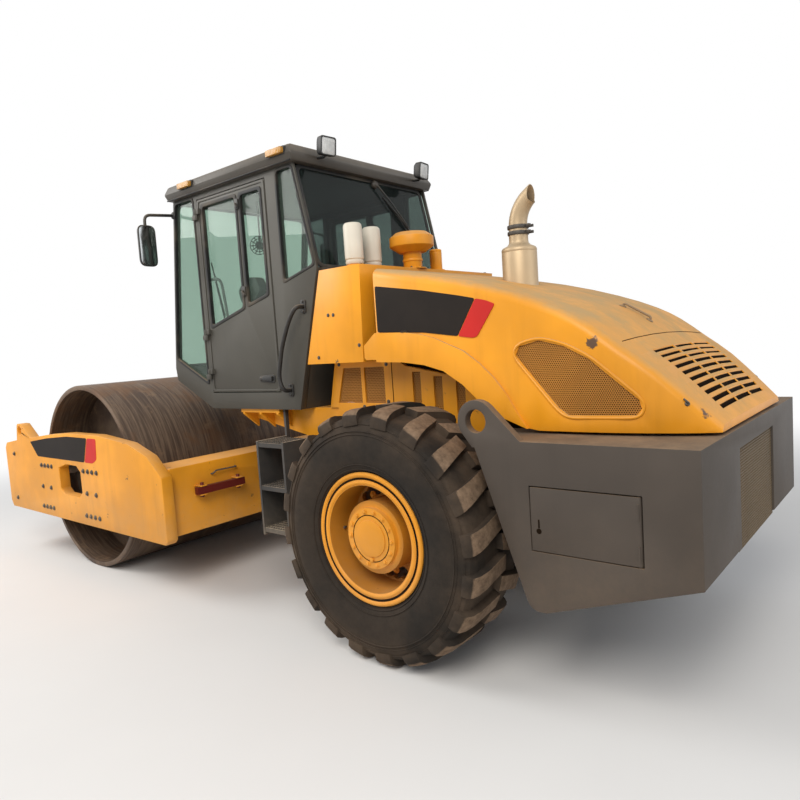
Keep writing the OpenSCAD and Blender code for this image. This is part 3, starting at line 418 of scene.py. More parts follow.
def smooth_by_angle(o, degrees):
    """Shades an object smooth below an angle, by a small node group."""
    key = "smooth_%d" % degrees
    tree = bpy.data.node_groups.get(key)
    if tree is None:
        tree = bpy.data.node_groups.new(key, "GeometryNodeTree")
        for way in ("INPUT", "OUTPUT"):
            tree.interface.new_socket("Geometry", in_out=way, socket_type="NodeSocketGeometry")
        start, face, edge, end, angle, less = (tree.nodes.new(kind) for kind in (
            "NodeGroupInput", "GeometryNodeSetShadeSmooth", "GeometryNodeSetShadeSmooth", "NodeGroupOutput",
            "GeometryNodeInputMeshEdgeAngle", "FunctionNodeCompare"))
        less.operation = "LESS_EQUAL"
        less.inputs[1].default_value = math.radians(degrees)
        edge.domain = "EDGE"
        for a, b in ((start, face), (face, edge), (edge, end), (angle, less)):
            tree.links.new(a.outputs[0], b.inputs[0])
        tree.links.new(less.outputs[0], edge.inputs["Shade Smooth"])
    o.modifiers.new("smooth", "NODES").node_group = tree


def dress(o, look, rounding=0.0, angle=34):
    """Gives an object its material, rounds its edges and shades it."""
    o.data.materials.clear()
    o.data.materials.append(MAT[look])
    for p in o.data.polygons:
        p.material_index = 0
        p.use_smooth = True
    if rounding:
        b = o.modifiers.new("round", "BEVEL")
        b.width = rounding
        b.segments = 2
        b.limit_method = "ANGLE"
        b.angle_limit = math.radians(38)
    smooth_by_angle(o, angle)


def dress_node(name, look, rounding):
    """Dresses a CAD node; its own vertices stay as they are."""
    o = NODE[name]
    if "custom_normal" in o.data.attributes:
        o.data.attributes.remove(o.data.attributes["custom_normal"])
    o.modifiers.new("weld", "WELD").merge_threshold = 0.00005
    dress(o, look, rounding)


def bend(points, reach=0.03, n=5, closed=False):
    """A path or outline with its corners rounded."""
    pts = [Vector(p) for p in points]
    out = []
    for i, p in enumerate(pts):
        if not closed and i in (0, len(pts) - 1):
            out.append(p)
            continue
        da, db = pts[i - 1] - p, pts[(i + 1) % len(pts)] - p
        s = p + da.normalized() * min(reach, da.length * 0.48)
        e = p + db.normalized() * min(reach, db.length * 0.48)
        for k in range(n + 1):
            t = k / n
            out.append(s * (1 - t) ** 2 + p * 2 * t * (1 - t) + e * t * t)
    return out


def rounded(outline, reach, n):
    """A closed outline with its corners rounded."""
    return bend(outline, reach, n, True)


def inset(outline, d):
    """A convex outline moved inward by d, or outward where d is negative."""
    pts = [Vector(p) for p in outline]
    n = len(pts)
    area = sum(pts[i - 1].x * pts[i].y - pts[i].x * pts[i - 1].y for i in range(n))
    lines = []
    for i in range(n):
        t = (pts[(i + 1) % n] - pts[i]).normalized()
        lines.append((pts[i] + V(-t.y, t.x) * (d if area > 0 else -d), t))
    out = []
    for i in range(n):
        (p, t), (q, u) = lines[i - 1], lines[i]
        k = ((q.x - p.x) * u.y - (q.y - p.y) * u.x) / (t.x * u.y - t.y * u.x)
        out.append(p + t * k)
    return out


def within(outline, u, v):
    """True where (u, v) is inside the outline."""
    found = False
    for i in range(len(outline)):
        (x0, y0), (x1, y1) = outline[i - 1], outline[i]
        if (y0 > v) != (y1 > v) and u < (x1 - x0) * (v - y0) / (y1 - y0) + x0:
            found = not found
    return found


class Piece:
    """One object made of mesh parts that share a look and ride on one body."""

    def __init__(self, name, look, body="rear_body"):
        self.name, self.body, self.look = name, body, look
        self.verts, self.faces = [], []

    def add(self, verts, faces):
        n = len(self.verts)
        self.verts += [Vector(v) for v in verts]
        self.faces += [tuple(n + i for i in f) for f in faces]

    def prism(self, ring, shift):
        """A solid between an outline and its copy moved by shift."""
        ring = [Vector(p) for p in ring]
        self.skin([ring, [p + shift for p in ring]], (0, 1))

    def plate(self, outline, y, thick):
        """A plate that faces sideways: an outline in x and z at y."""
        self.prism([P(x, y, z) for x, z in outline], V(0, thick, 0))

    def skin(self, loops, caps=(), closed=False):
        """Faces between loops of points; caps are the loops that are filled."""
        n, k = len(loops), len(loops[0])
        faces = []
        for a in range(n if closed else n - 1):
            b = (a + 1) % n
            faces += [(a * k + i, a * k + (i + 1) % k, b * k + (i + 1) % k, b * k + i) for i in range(k)]
        faces += [tuple(range(a * k, (a + 1) * k)) for a in caps]
        self.add([p for loop in loops for p in loop], faces)

    def ring(self, outer, inner, shift):
        """A flat frame between two outlines with the same number of points."""
        loops = [[Vector(p) for p in loop] for loop in (outer, inner)]
        loops += [[p + shift for p in loop] for loop in reversed(loops)]
        self.skin(loops, closed=True)

    def frame(self, outer, inner, y, thick):
        """A flat frame that faces sideways, its outlines in x and z."""
        self.ring(*([P(x, y, z) for x, z in loop] for loop in (outer, inner)), V(0, thick, 0))

    def tube(self, path, r, sides=10, closed=False):
        """A round bar along a path; r is one radius or one for each point."""
        pts = [Vector(p) for p in path]
        n = len(pts)
        radii = r if isinstance(r, (list, tuple)) else [r] * n
        u = None
        loops = []
        for i in range(n):
            if closed:
                t = (pts[(i + 1) % n] - pts[i - 1]).normalized()
            else:
                t = (pts[min(i + 1, n - 1)] - pts[max(i - 1, 0)]).normalized()
            u = t.orthogonal() if u is None else u
            u = (u - t * u.dot(t)).normalized()
            w = t.cross(u)
            turns = [math.tau * k / sides for k in range(sides)]
            loops.append([pts[i] + (u * math.cos(a) + w * math.sin(a)) * radii[i] for a in turns])
        self.skin(loops, () if closed else (0, n - 1), closed)

    def lathe(self, origin, axis, profile, sides, loop=False):
        """A turned shape: profile is (radius, distance along the axis)."""
        axis = Vector(axis).normalized()
        u = axis.orthogonal().normalized()
        w = axis.cross(u)
        turns = [math.tau * k / sides for k in range(sides)]
        self.skin([[origin + axis * h + (u * math.cos(a) + w * math.sin(a)) * r for a in turns]
                   for r, h in profile], closed=loop)

    def bolt(self, at, axis, r):
        """A washer and a hexagon head."""
        washer = [(0, -0.004), (1.5 * r, -0.004), (1.5 * r, 0.16 * r), (1.4 * r, 0.25 * r), (0, 0.25 * r)]
        self.lathe(at, axis, washer, 14)
        self.lathe(at, axis, [(0, 0), (r, 0), (r, 0.75 * r), (0.82 * r, 0.9 * r), (0, 0.9 * r)], 6)

    def holes(self, outline, place, pitch, hole, deep):
        """A sheet with staggered holes over an outline; place(u, v, d) gives the point d below the face."""
        us, vs = [p[0] for p in outline], [p[1] for p in outline]
        h = pitch / math.sqrt(3)
        for row in range(int((max(vs) - min(vs)) / (1.5 * h)) + 2):
            for col in range(int((max(us) - min(us)) / pitch) + 2):
                cu = min(us) + (col + 0.5 * (row % 2)) * pitch
                cv = min(vs) + row * 1.5 * h
                if not within(outline, cu, cv):
                    continue
                spin = [(math.sin(k * math.pi / 3), math.cos(k * math.pi / 3)) for k in range(6)]
                self.skin([[place(cu + r * a, cv + r * b, d) for a, b in spin]
                           for r, d in ((h, 0.0), (hole, 0.0), (hole, deep))])

    def patch(self, outline, drop, lift, grid):
        """A thin film over a curved face: drop(u, v) gives the point on the face and its normal."""
        bm = bmesh.new()
        bm.faces.new([bm.verts.new((u, v, 0)) for u, v in outline])
        bmesh.ops.triangulate(bm, faces=bm.faces[:])
        for _ in range(5):
            wide = [e for e in bm.edges if e.calc_length() > grid]
            if not wide:
                break
            bmesh.ops.subdivide_edges(bm, edges=wide, cuts=1)
            bmesh.ops.triangulate(bm, faces=[f for f in bm.faces if len(f.verts) > 3])
        bm.verts.index_update()
        n = len(bm.verts)
        spots = [drop(v.co.x, v.co.y) for v in bm.verts]
        verts = [p + nrm * lift for p, nrm in spots] + [p - nrm * 0.001 for p, nrm in spots]
        faces = []
        for f in bm.faces:
            ids = [v.index for v in f.verts]
            faces += [tuple(ids), tuple(n + i for i in reversed(ids))]
        faces += [(e.verts[0].index, e.verts[1].index, n + e.verts[1].index, n + e.verts[0].index)
                  for e in bm.edges if len(e.link_faces) == 1]
        bm.free()
        self.add(verts, faces)

    def make(self):
        """The object itself, welded, with its faces turned outward."""
        mesh = bpy.data.meshes.new(self.name)
        mesh.from_pydata(self.verts, [], self.faces)
        bm = bmesh.new()
        bm.from_mesh(mesh)
        bmesh.ops.remove_doubles(bm, verts=bm.verts[:], dist=1e-5)
        bmesh.ops.recalc_face_normals(bm, faces=bm.faces[:])
        bm.to_mesh(mesh)
        bm.free()
        o = bpy.data.objects.new(self.name, mesh)
        scene.collection.objects.link(o)
        return o

    def done(self, rounding=0.0, stands_for=(), angle=34):
        """Makes the object, dresses it, ties it to its body and hides the nodes that it stands for."""
        o = self.make()
        dress(o, self.look, rounding, angle)
        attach(o, self.body)
        if stands_for:
            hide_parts(*stands_for)


def face_of(node, axis):
    """A lookup that drops a line on a CAD node along an axis and returns (point, outward normal)."""
    mesh = NODE[node].data
    tree = BVHTree.FromPolygons([v.co for v in mesh.vertices], [tuple(p.vertices) for p in mesh.polygons])
    axis = Vector(axis)

    def drop(start):
        hit, normal, _, _ = tree.ray_cast(start, axis)
        if hit is not None and normal.dot(axis) > 0:
            normal = -normal
        return hit, normal
    return drop


# CAD nodes: material and edge rounding

ROUND = {name: size for size, names in {
    0.0: "windscreen quarter_glass left_door_glass right_door_glass rear_window hand_wheel",
    0.007: "left_tyre right_tyre",
    0.009: "hydraulic_tank",
    0.01: "hood counterweight left_side_plate right_side_plate rear_beam front_beam",
    0.018: "cab_roof",
}.items() for name in names.split()}
for look, names in LOOK.items():
    for name in names.split():
        dress_node(name, look, ROUND.get(name, 0.004))

# Hood: bands, mesh with painted shade behind it, beads, latches, seam, slot shades and grab

HOOD_HW = 0.755  # half width of the hood at its front
hood_side = {s: face_of("hood", (0, -s, 0)) for s, _ in SIDES}
hood_top = face_of("hood", (0, 0, -1))


def on_hood(s):
    """A lookup of the hood's side face at (x, z)."""
    return lambda x, z: hood_side[s](P(x, 2.0 * s, z))


def over_hood(x, y):
    """The hood's top face at (x, y)."""
    return hood_top(P(x, y, 3.5))


def hood_half(x):
    """Half width of the hood's side at x."""
    keys = [
        (-2.0, 0.125), (-1.688, 0.125), (-1.6, 0.085), (-1.435, 0.04), (-1.276, 0.015), (-1.137, 0.003),
        (-0.99, 0.0), (1.0, 0.0)]
    for (x0, d0), (x1, d1) in zip(keys, keys[1:]):
        if x <= x1:
            return HOOD_HW - d0 - (d1 - d0) * (x - x0) / (x1 - x0)
    return HOOD_HW


WINDOW = [
    (-0.787, 1.722), (-0.767, 1.678), (-0.988, 1.415), (-1.038, 1.379), (-1.356, 1.381), (-1.379, 1.412),
    (-1.368, 1.452), (-1.151, 1.645), (-1.029, 1.711), (-0.899, 1.746)]
BAND = [
    (0.138, 2.118), (-0.2, 2.06), (-0.445, 2.008), (-0.545, 1.984), (-0.425, 1.795), (-0.2, 1.828),
    (0.138, 1.849)]
BAND_END = [
    (-0.549, 1.983), (-0.61, 1.968), (-0.664, 1.945), (-0.625, 1.89), (-0.548, 1.786), (-0.52, 1.78),
    (-0.429, 1.794)]
sheet_piece = Piece("hood_mesh", "mesh", "hood")
# A dark sheet inside each mesh window is painted shade for the shadowed space under the hood.
mesh_shade = Piece("hood_mesh_painted_shade", "void", "hood")
for s, side in SIDES:
    for name, look, outline, n, lift in (
            ("hood_band_", "decal", BAND, 2, 0.004), ("hood_band_end_", "decal_red", BAND_END, 3, 0.0046)):
        band = Piece(name + side, look, "hood")
        band.patch(rounded(outline, 0.012, n), on_hood(s), lift, 0.022)
        band.done()
    sheet_piece.holes(
        inset(WINDOW, -0.004), lambda x, z, d, s=s: P(x, s * (hood_half(x) - 0.007 - d), z), 0.0105,
        0.0035, 0.003)
    mesh_shade.prism(
        [P(x, s * (hood_half(x) - 0.024), z) for x, z in inset(WINDOW, -0.002)], V(0, -0.004 * s, 0))
    bead = Piece("hood_bead_" + side, "hood", "hood")
    bead.tube([on_hood(s)(x, z)[0] for x, z in rounded(inset(WINDOW, -0.013), 0.05, 5)], 0.0075, 8, True)
    latch = Piece("hood_latch_" + side, "bolt", "hood")
    at, nrm = on_hood(s)(-1.56, 1.43)
    latch.lathe(at, nrm, [(0, -0.01), (0.011, -0.01), (0.011, 0.004), (0.008, 0.006), (0, 0.006)], 20)
    latch.tube(
        bend([at + nrm * 0.004, at + nrm * 0.014, at + nrm * 0.016 + V(0.022, 0, 0.016)], 0.006), 0.004, 8)
    latch.done()
    bead.done()
sheet_piece.done(stands_for=["hood_screens"])
mesh_shade.done()
seam = Piece("hood_seam", "void", "hood")
seam.tube([over_hood(-1.268, y / 100)[0] for y in range(-64, 65, 4)], 0.0024, 6)
seam.done()
slots = Piece("hood_slot_shade", "void", "hood")
for row in range(10):
    x = -1.348 - 0.031 * row
    half = 0.475 - 0.0044 * row
    for y0, y1 in (
            (-half, -half / 3 - 0.009), (-half / 3 + 0.009, half / 3 - 0.009), (half / 3 + 0.009, half)):
        edge = [over_hood(x + 0.005, y0 + (y1 - y0) * k / 5)[0] for k in range(6)]
        top = [V(x + AX - 0.001, p.y, p.z - 0.011) for p in edge]
        slots.prism(top + [p - V(0, 0, 0.045) for p in reversed(top)], V(-0.002, 0, 0))
        for y, way in ((y0, 1), (y1, -1)):
            fore, aft = over_hood(x + 0.005, y)[0].z - 0.014, over_hood(x - 0.024, y)[0].z - 0.003
            cheek = [
                (x - 0.003, fore), (x - 0.019, aft), (x - 0.019, aft - 0.045), (x - 0.003, fore - 0.045)]
            slots.plate(cheek, y, 0.002 * way)
slots.done()
grab = Piece("hood_grab", "handle", "hood")
a, na = over_hood(-1.035, 0.0)
b, nb = over_hood(-1.18, 0.0)
grab.tube(bend([a - na * 0.005, a + na * 0.02, b + nb * 0.02, b - nb * 0.005], 0.02), 0.0065, 10)
for p, q in ((a, na), (b, nb)):
    grab.lathe(p, q, [(0, -0.002), (0.02, -0.002), (0.02, 0.004), (0.012, 0.007), (0, 0.007)], 16)
grab.done()

# Exhaust, filters and tank fittings

stack = Piece("stack", "stack", "hood")
foot = P(-0.457, 0.1, 0)
up = V(0, 0, 1)
stack.lathe(foot, up, [
    (0.0, 2.03), (0.105, 2.03), (0.105, 2.268), (0.1035, 2.272), (0.105, 2.276), (0.105, 2.288),
    (0.098, 2.299), (0.07, 2.312), (0.059, 2.326), (0.057, 2.34), (0.057, 2.372)], 48)
stack.lathe(foot, up, [(0.105, 2.058), (0.1075, 2.062), (0.105, 2.066)], 48)
bow = [foot + V(0, 0, 2.36)]
for k in range(13):
    a = math.radians(58) * k / 12
    bow.append(foot + Vector((-0.2 * (1 - math.cos(a)), 0, 2.425 + 0.2 * math.sin(a))))
around = [math.tau * k / 28 for k in range(28)]
outer, inner = [], []
for i, p in enumerate(bow):
    t = (bow[min(i + 1, len(bow) - 1)] - bow[max(i - 1, 0)]).normalized()
    front = V(0, 1, 0).cross(t)
    slant = 0.0
    if i == len(bow) - 1:
        slant = -0.035 if front.x < 0 else 0.035
    for rows, r in ((outer, 0.056 - 0.006 * i / 12), (inner, 0.052 - 0.006 * i / 12)):
        rows.append([
            p + (front * math.cos(a) + V(0, 1, 0) * math.sin(a)) * r + t * (slant * math.cos(a))
            for a in around])
stack.skin(outer + inner[::-1])
stack.done(stands_for=["exhaust_stack"], angle=40)
clamp = Piece("stack_clamp", "bolt", "hood")
for z in (2.384, 2.42):
    profile = [(0.056, -0.012), (0.0635, -0.01), (0.0645, 0), (0.0635, 0.01), (0.056, 0.012)]
    clamp.lathe(foot, up, [(r, z + h) for r, h in profile], 36, True)
    for y in (0.078, 0.112):
        clamp.plate(rect(-0.549, z - 0.008, -0.515, z + 0.008), y, 0.01)
    clamp.bolt(foot + V(-0.08, 0.022, z), (0, 1, 0), 0.007)
    clamp.tube([foot + V(-0.08, -0.035, z), foot + V(-0.08, 0.022, z)], 0.0045, 8)
clamp.done(0.0015)
soot = Piece("stack_soot", "void", "hood")
soot.lathe(bow[9], (bow[10] - bow[8]), [
    (0, -0.004), (0.045, -0.004), (0.047, 0), (0.045, 0.004), (0, 0.004)], 24)
soot.done()

TANK_TOP = 2.265
filters = Piece("filters", "white")
collars = Piece("filter_collars", "yellow")
for x, y in ((0.46, 0.565), (0.5, 0.345)):
    base = P(x, y, TANK_TOP)
    filters.lathe(base, up, [
        (0, 0.03), (0.054, 0.03), (0.058, 0.036), (0.058, 0.048), (0.055, 0.052), (0.055, 0.058),
        (0.06, 0.064), (0.06, 0.262), (0.057, 0.276), (0.048, 0.286), (0.03, 0.29), (0, 0.289)], 48)
    collars.lathe(base, up, [
        (0, 0.0), (0.064, 0.0), (0.064, 0.014), (0.052, 0.018), (0.05, 0.032), (0, 0.032)], 40)
filters.done(stands_for=["return_filters"])
collars.done()
fittings = Piece("tank_fittings", "bolt")
for x, y in ((0.29, 0.7), (0.56, 0.7), (0.29, -0.7), (0.56, -0.7), (0.29, 0.4), (0.56, -0.3)):
    fittings.bolt(P(x, y, TANK_TOP), up, 0.011)
for s in (1, -1):
    for x, z in ((0.548, 1.982), (0.503, 1.98), (0.3, 1.783), (0.66, 1.72)):
        fittings.bolt(P(x, s * 0.75, z), (0, s, 0), 0.008)
for k in range(6):
    a = k * math.pi / 3
    fittings.bolt(P(0.325 + 0.078 * math.cos(a), 0.14 + 0.078 * math.sin(a), TANK_TOP + 0.009), up, 0.006)
fittings.done()
rings = Piece("air_cleaner_rings", "yellow")
cleaner = P(0.325, 0.14, TANK_TOP)
breather = P(0.325, -0.125, TANK_TOP)
rings.lathe(cleaner, up, [(0.06, 0), (0.092, 0), (0.092, 0.006), (0.068, 0.009), (0.06, 0.009)], 40, True)
rings.lathe(cleaner, up, [(0.06, 0.05), (0.067, 0.052), (0.067, 0.066), (0.06, 0.068)], 40, True)
rings.lathe(breather, up, [(0.04, 0), (0.058, 0), (0.058, 0.007), (0.04, 0.01)], 30, True)
rings.lathe(breather, up, [(0, 0.126), (0.04, 0.128), (0.043, 0.138), (0.038, 0.148), (0, 0.15)], 24)
rings.done(0.001)

# Side screens: mesh with dark sheets of painted shade behind the cut-outs, bolts and seams

screen = Piece("side_screen_mesh", "mesh")
back = Piece("side_screen_painted_shade", "void")
trim = Piece("side_screen_bolts", "bolt")
PANES = [rect(0.27, 1.41, 0.44, 1.64), [(0.468, 1.41), (0.688, 1.41), (0.622, 1.64), (0.468, 1.64)]]
for k in range(3):
    PANES.append(rect(-0.015 - 0.158 * k, 1.31, 0.047 - 0.158 * k, 1.6 - 0.028 * k))
for s in (1, -1):
    for pane in PANES:
        area = inset(pane, -0.006)
        screen.holes(area, lambda x, z, d, s=s: P(x, s * (0.566 - d), z), 0.0125, 0.0042, 0.003)
        back.plate(inset(area, 0.008), s * 0.548, -0.003 * s)
    for x, z in (
            (0.66, 1.665), (0.455, 1.385), (0.248, 1.42), (0.248, 1.655), (0.175, 1.4), (-0.06, 1.28),
            (-0.23, 1.28), (-0.38, 1.4)):
        trim.bolt(P(x, s * 0.575, z), (0, s, 0), 0.009)
    # One more dark sheet of painted shade fills the see-through gap under the hood.
    back.plate(((-0.34, 1.5), (0.15, 1.58), (0.15, 1.76), (-0.34, 1.7)), s * 0.54, -0.003 * s)
screen.done()
back.done()
trim.done()
edges = Piece("side_screen_seams", "void")
for s in (1, -1):
    edges.tube([P(0.205, s * 0.5755, 1.2), P(0.205, s * 0.5755, 1.675)], 0.0025, 6)
edges.done()

# Cab: seals, door handles, wipers, rails, mirrors, lamps and roof trim

CAB = 0.7  # half width of the cab
REAR_Q = [(1.0, 2.974), (0.836, 2.974), (0.688, 2.318), (1.0, 2.235)]
FRONT_Q = [(1.955, 1.562), (2.372, 1.768), (2.204, 2.974), (1.955, 2.974)]
DOOR = rect(1.115, 1.5, 1.905, 2.946)
DOOR_REAR = [(1.16, 2.17), (1.405, 2.11), (1.405, 2.901), (1.16, 2.901)]
DOOR_FRONT = [(1.435, 2.1), (1.86, 1.985), (1.86, 2.901), (1.435, 2.901)]


def seal(piece, outline, s, wide=0.016):
    """A rubber frame round a pane in the cab's side."""
    outer, inner = (rounded(inset(outline, d), 0.03, 4) for d in (-0.006, wide))
    piece.frame(outer, inner, s * (CAB + 0.005), -s * 0.022)


for s, side in SIDES:
    fixed = Piece("cab_seals_" + side, "seal")
    seal(fixed, REAR_Q, s, 0.01)
    seal(fixed, FRONT_Q, s, 0.01)
    fixed.done(0.002)
    moving = Piece("door_seals_" + side, "seal", side + "_door")
    seal(moving, DOOR_REAR, s)
    seal(moving, DOOR_FRONT, s)
    moving.done(0.002)
    edge = Piece("door_edge_" + side, "cab", side + "_door")
    outer, inner = (rounded(inset(DOOR, d), 0.02, 4) for d in (0.002, 0.02))
    edge.frame(outer, inner, s * (CAB + 0.005), -s * 0.006)
    edge.done(0.002)
    pull = Piece("door_handle_" + side, "plastic", side + "_door")
    plate = rounded([(1.165, 1.56), (1.335, 1.572), (1.335, 1.612), (1.165, 1.622)], 0.02, 4)
    pull.plate(plate, s * (CAB - 0.002), s * 0.008)
    lever = rounded([(1.18, 1.575), (1.29, 1.582), (1.29, 1.604), (1.18, 1.611)], 0.01, 3)
    pull.plate(lever, s * (CAB + 0.004), s * 0.02)
    pull.lathe(P(1.314, s * CAB, 1.592), (0, s, 0), [
        (0, 0), (0.013, 0), (0.013, 0.011), (0.01, 0.014), (0, 0.014)], 20)
    for z in (2.83, 2.22):
        stay = rounded(rect(1.398, z - 0.035, 1.442, z + 0.035), 0.008, 3)
        pull.plate(stay, s * (CAB - 0.004), s * 0.02)
        pull.tube(bend([
            P(1.42, s * (CAB + 0.012), z), P(1.42, s * (CAB + 0.03), z),
            P(1.385, s * (CAB + 0.034), z - 0.03)], 0.01), 0.007, 8)
    pull.done(0.0025)

glassing = Piece("windscreen_seals", "seal")
for low, high, out in (
        ((2.398, 1.7), (2.218, 2.99), V(1.29, 0, 0.18).normalized()),
        ((0.69, 2.3), (0.84, 2.99), V(-0.69, 0, 0.15).normalized())):
    def spot(v, t, low=low, high=high):
        return P(low[0] + (high[0] - low[0]) * t, v, low[1] + (high[1] - low[1]) * t)
    span = math.hypot(high[0] - low[0], high[1] - low[1])
    flat = rect(-0.668, 0.0, 0.668, span)
    loops = [
        [spot(y, v / span) + out * 0.004 for y, v in rounded(inset(flat, d), 0.05, 5)]
        for d in (0.001, 0.024)]
    glassing.ring(*loops, out * -0.014)
glassing.done(0.003)

wipers = Piece("wipers", "plastic")
PIVOT = [(0, -0.004), (0.03, -0.004), (0.03, 0.012), (0.018, 0.026), (0, 0.028)]
out = V(-0.69, 0, 0.15).normalized()
pivot_at = P(0.832, -0.1, 2.955) + out * 0.004
tip_at = P(0.766, -0.367, 2.649) + out * 0.022
wipers.lathe(pivot_at, out, PIVOT, 24)
wipers.tube(
    [pivot_at + out * 0.02, pivot_at.lerp(tip_at, 0.5) + out * 0.022, tip_at + out * 0.006],
    [0.008, 0.006, 0.004], 8)
along = (tip_at - pivot_at).normalized()
mid = pivot_at.lerp(tip_at, 0.86)
blade = [mid - along * 0.24 - out * 0.004, mid + along * 0.16 - out * 0.004]
wipers.tube([
    blade[0] - out * 0.004, blade[0].lerp(blade[1], 0.5) + out * 0.003, blade[1] - out * 0.004], 0.006, 6)
wipers.tube([blade[0] - out * 0.009, blade[1] - out * 0.009], 0.0035, 6)
ahead_out = V(1.29, 0, 0.18).normalized()
low_at = P(2.385, 0.12, 1.79) + ahead_out * 0.006
high_at = P(2.3, 0.3, 2.4) + ahead_out * 0.02
wipers.lathe(low_at, ahead_out, PIVOT, 24)
wipers.tube([low_at + ahead_out * 0.018, high_at], [0.008, 0.005], 8)
run = (high_at - low_at).normalized()
wipers.tube([high_at - run * 0.3 - ahead_out * 0.008, high_at + run * 0.16 - ahead_out * 0.008], 0.006, 6)
wipers.done()

rails = Piece("grab_rails", "black")
for s in (1, -1):
    route = [
        (0.82, CAB, 2.06), (0.82, 0.775, 2.06), (0.9, 0.775, 1.965), (0.985, 0.775, 1.8),
        (1.04, 0.775, 1.6), (1.005, 0.775, 1.51), (1.005, CAB, 1.51)]
    rails.tube(bend([P(x, s * y, z) for x, y, z in route], 0.06, 6), 0.0145, 14)
    for x, z in ((0.82, 2.06), (1.005, 1.51)):
        foot_plate = rounded(rect(x - 0.025, z - 0.045, x + 0.025, z + 0.045), 0.02, 4)
        rails.plate(foot_plate, s * CAB, s * 0.008)
        for dz in (-0.032, 0.032):
            rails.bolt(P(x, s * (CAB + 0.008), z + dz), (0, s, 0), 0.007)
rails.done(0.0015, ["handrails"])

shells = Piece("mirror_shells", "plastic")
mirror_face = Piece("mirror_faces", "mirror")
MIRROR_Y = 0.945
MIRROR_Z = 2.64
HEAD = rect(-0.072, -0.155, 0.072, 0.155)
SHELL = [(2.2245, 0.0), (2.232, 0.0), (2.246, 0.004), (2.257, 0.018), (2.262, 0.04)]
for s in (1, -1):
    shells.tube(bend([
        P(2.226, s * (CAB + 0.003), 2.89), P(2.24, s * MIRROR_Y, 2.872), P(2.24, s * MIRROR_Y, 2.56)],
        0.05, 6), 0.0115, 12)
    shells.lathe(P(2.226, s * CAB, 2.89), (0, s, 0), [
        (0, 0.0), (0.028, 0.0), (0.028, 0.008), (0.016, 0.018), (0, 0.018)], 20)
    loops = []
    for x, d in SHELL:
        loops.append([P(x, s * MIRROR_Y + y, MIRROR_Z + z) for y, z in rounded(inset(HEAD, d), 0.05, 5)])
    shells.skin(loops, (0, len(loops) - 1))
    pane = rounded(inset(HEAD, 0.008), 0.045, 5)
    mirror_face.prism([P(2.2235, s * MIRROR_Y + y, MIRROR_Z + z) for y, z in pane], V(0.003, 0, 0))
shells.done(0.0015, ["mirrors"])
mirror_face.done(0.0008)

lamps = Piece("lamp_bodies", "plastic")
lenses = Piece("lamp_lenses", "lamp")
LAMP_FACE = rect(-0.064, -0.06, 0.064, 0.06)
LAMP_BODY = [
    (-0.04, 0.028), (-0.034, 0.016), (-0.012, 0.003), (0.026, 0.0), (0.032, 0.0), (0.034, 0.003),
    (0.034, 0.007), (0.03, 0.008)]
LAMP_LENS = [(0.029, 0.008), (0.033, 0.016), (0.035, 0.03)]
for s in (1, -1):
    for x, y, way in ((0.697, 0.51, -1), (2.33, 0.5, 1)):
        z = 3.09 if way < 0 else 3.08
        look_at = V(way, 0.1 * s, -0.12).normalized()
        right = look_at.cross(up).normalized()
        top = right.cross(look_at)
        centre = P(x, s * y, z)
        for piece, layers, reach, cap in ((lamps, LAMP_BODY, 0.018, 0), (lenses, LAMP_LENS, 0.016, 2)):
            loops = []
            for d, e in layers:
                edge = rounded(inset(LAMP_FACE, e), reach, 4)
                loops.append([centre + look_at * d + right * u + top * v for u, v in edge])
            piece.skin(loops, (cap,))
        arm = [
            centre + V(-0.005 * way, 0, -0.04), centre + V(-0.02 * way, 0, -0.062),
            P(0.8 if way < 0 else 2.235, s * y, 3.04)]
        lamps.tube(bend(arm, 0.015, 4), 0.01, 10)
        lamps.bolt(centre + V(0, 0, -0.048), (0, s, 0), 0.01)
lamps.done(0.0015, ["work_lamps"])
lenses.done()

trim = Piece("roof_trim", "seal")
for s in (1, -1):
    trim.tube([P(0.8, s * 0.7365, 2.996), P(2.235, s * 0.7365, 2.996)], 0.006, 8)
    for x in (0.84, 1.88):
        trim.plate(rounded(rect(x - 0.012, 3.034, x + 0.162, 3.088), 0.012, 3), s * 0.7355, s * 0.018)
trim.done(0.001)

# Inside the cab: levers, pedals, instrument pod, fan, rail, dials, mat and the padded chair

inside = Piece("cab_controls", "console")
inside.tube([P(2.1, 0.0, 1.9), P(1.99, 0.0, 2.08)], [0.045, 0.036], 14)
inside.plate(((2.085, 1.985), (2.185, 1.948), (2.15, 2.04), (2.105, 2.05)), -0.19, 0.38)
box_side = [(1.26, 1.755), (1.66, 1.755), (1.7, 1.92), (1.64, 1.965), (1.28, 1.925)]
inside.plate(rounded(box_side, 0.03, 4), -0.44, 0.12)
for s in (1, -1):
    rest = [(1.165, 1.985), (1.43, 1.985), (1.45, 2.005), (1.43, 2.035), (1.165, 2.03)]
    inside.plate(rounded(rest, 0.015, 3), s * 0.335, -s * 0.065)
    inside.tube([P(1.175, s * 0.3, 2.0), P(1.165, s * 0.235, 1.93)], 0.016, 10)
inside.tube(bend([P(1.6, -0.38, 1.94), P(1.615, -0.38, 2.06), P(1.6, -0.38, 2.14)], 0.04), 0.009, 10)
inside.lathe(P(1.6, -0.38, 2.13), up, [
    (0, -0.012), (0.017, -0.008), (0.026, 0.018), (0.026, 0.05), (0.016, 0.066), (0, 0.069)], 20)
inside.lathe(P(1.61, -0.38, 1.95), up, [
    (0, 0), (0.042, 0.0), (0.036, 0.018), (0.018, 0.04), (0, 0.045)], 20)
for y in (-0.16, 0.12):
    inside.plate(((2.03, 1.6), (2.05, 1.6), (1.985, 1.715), (1.968, 1.705)), y, 0.085)
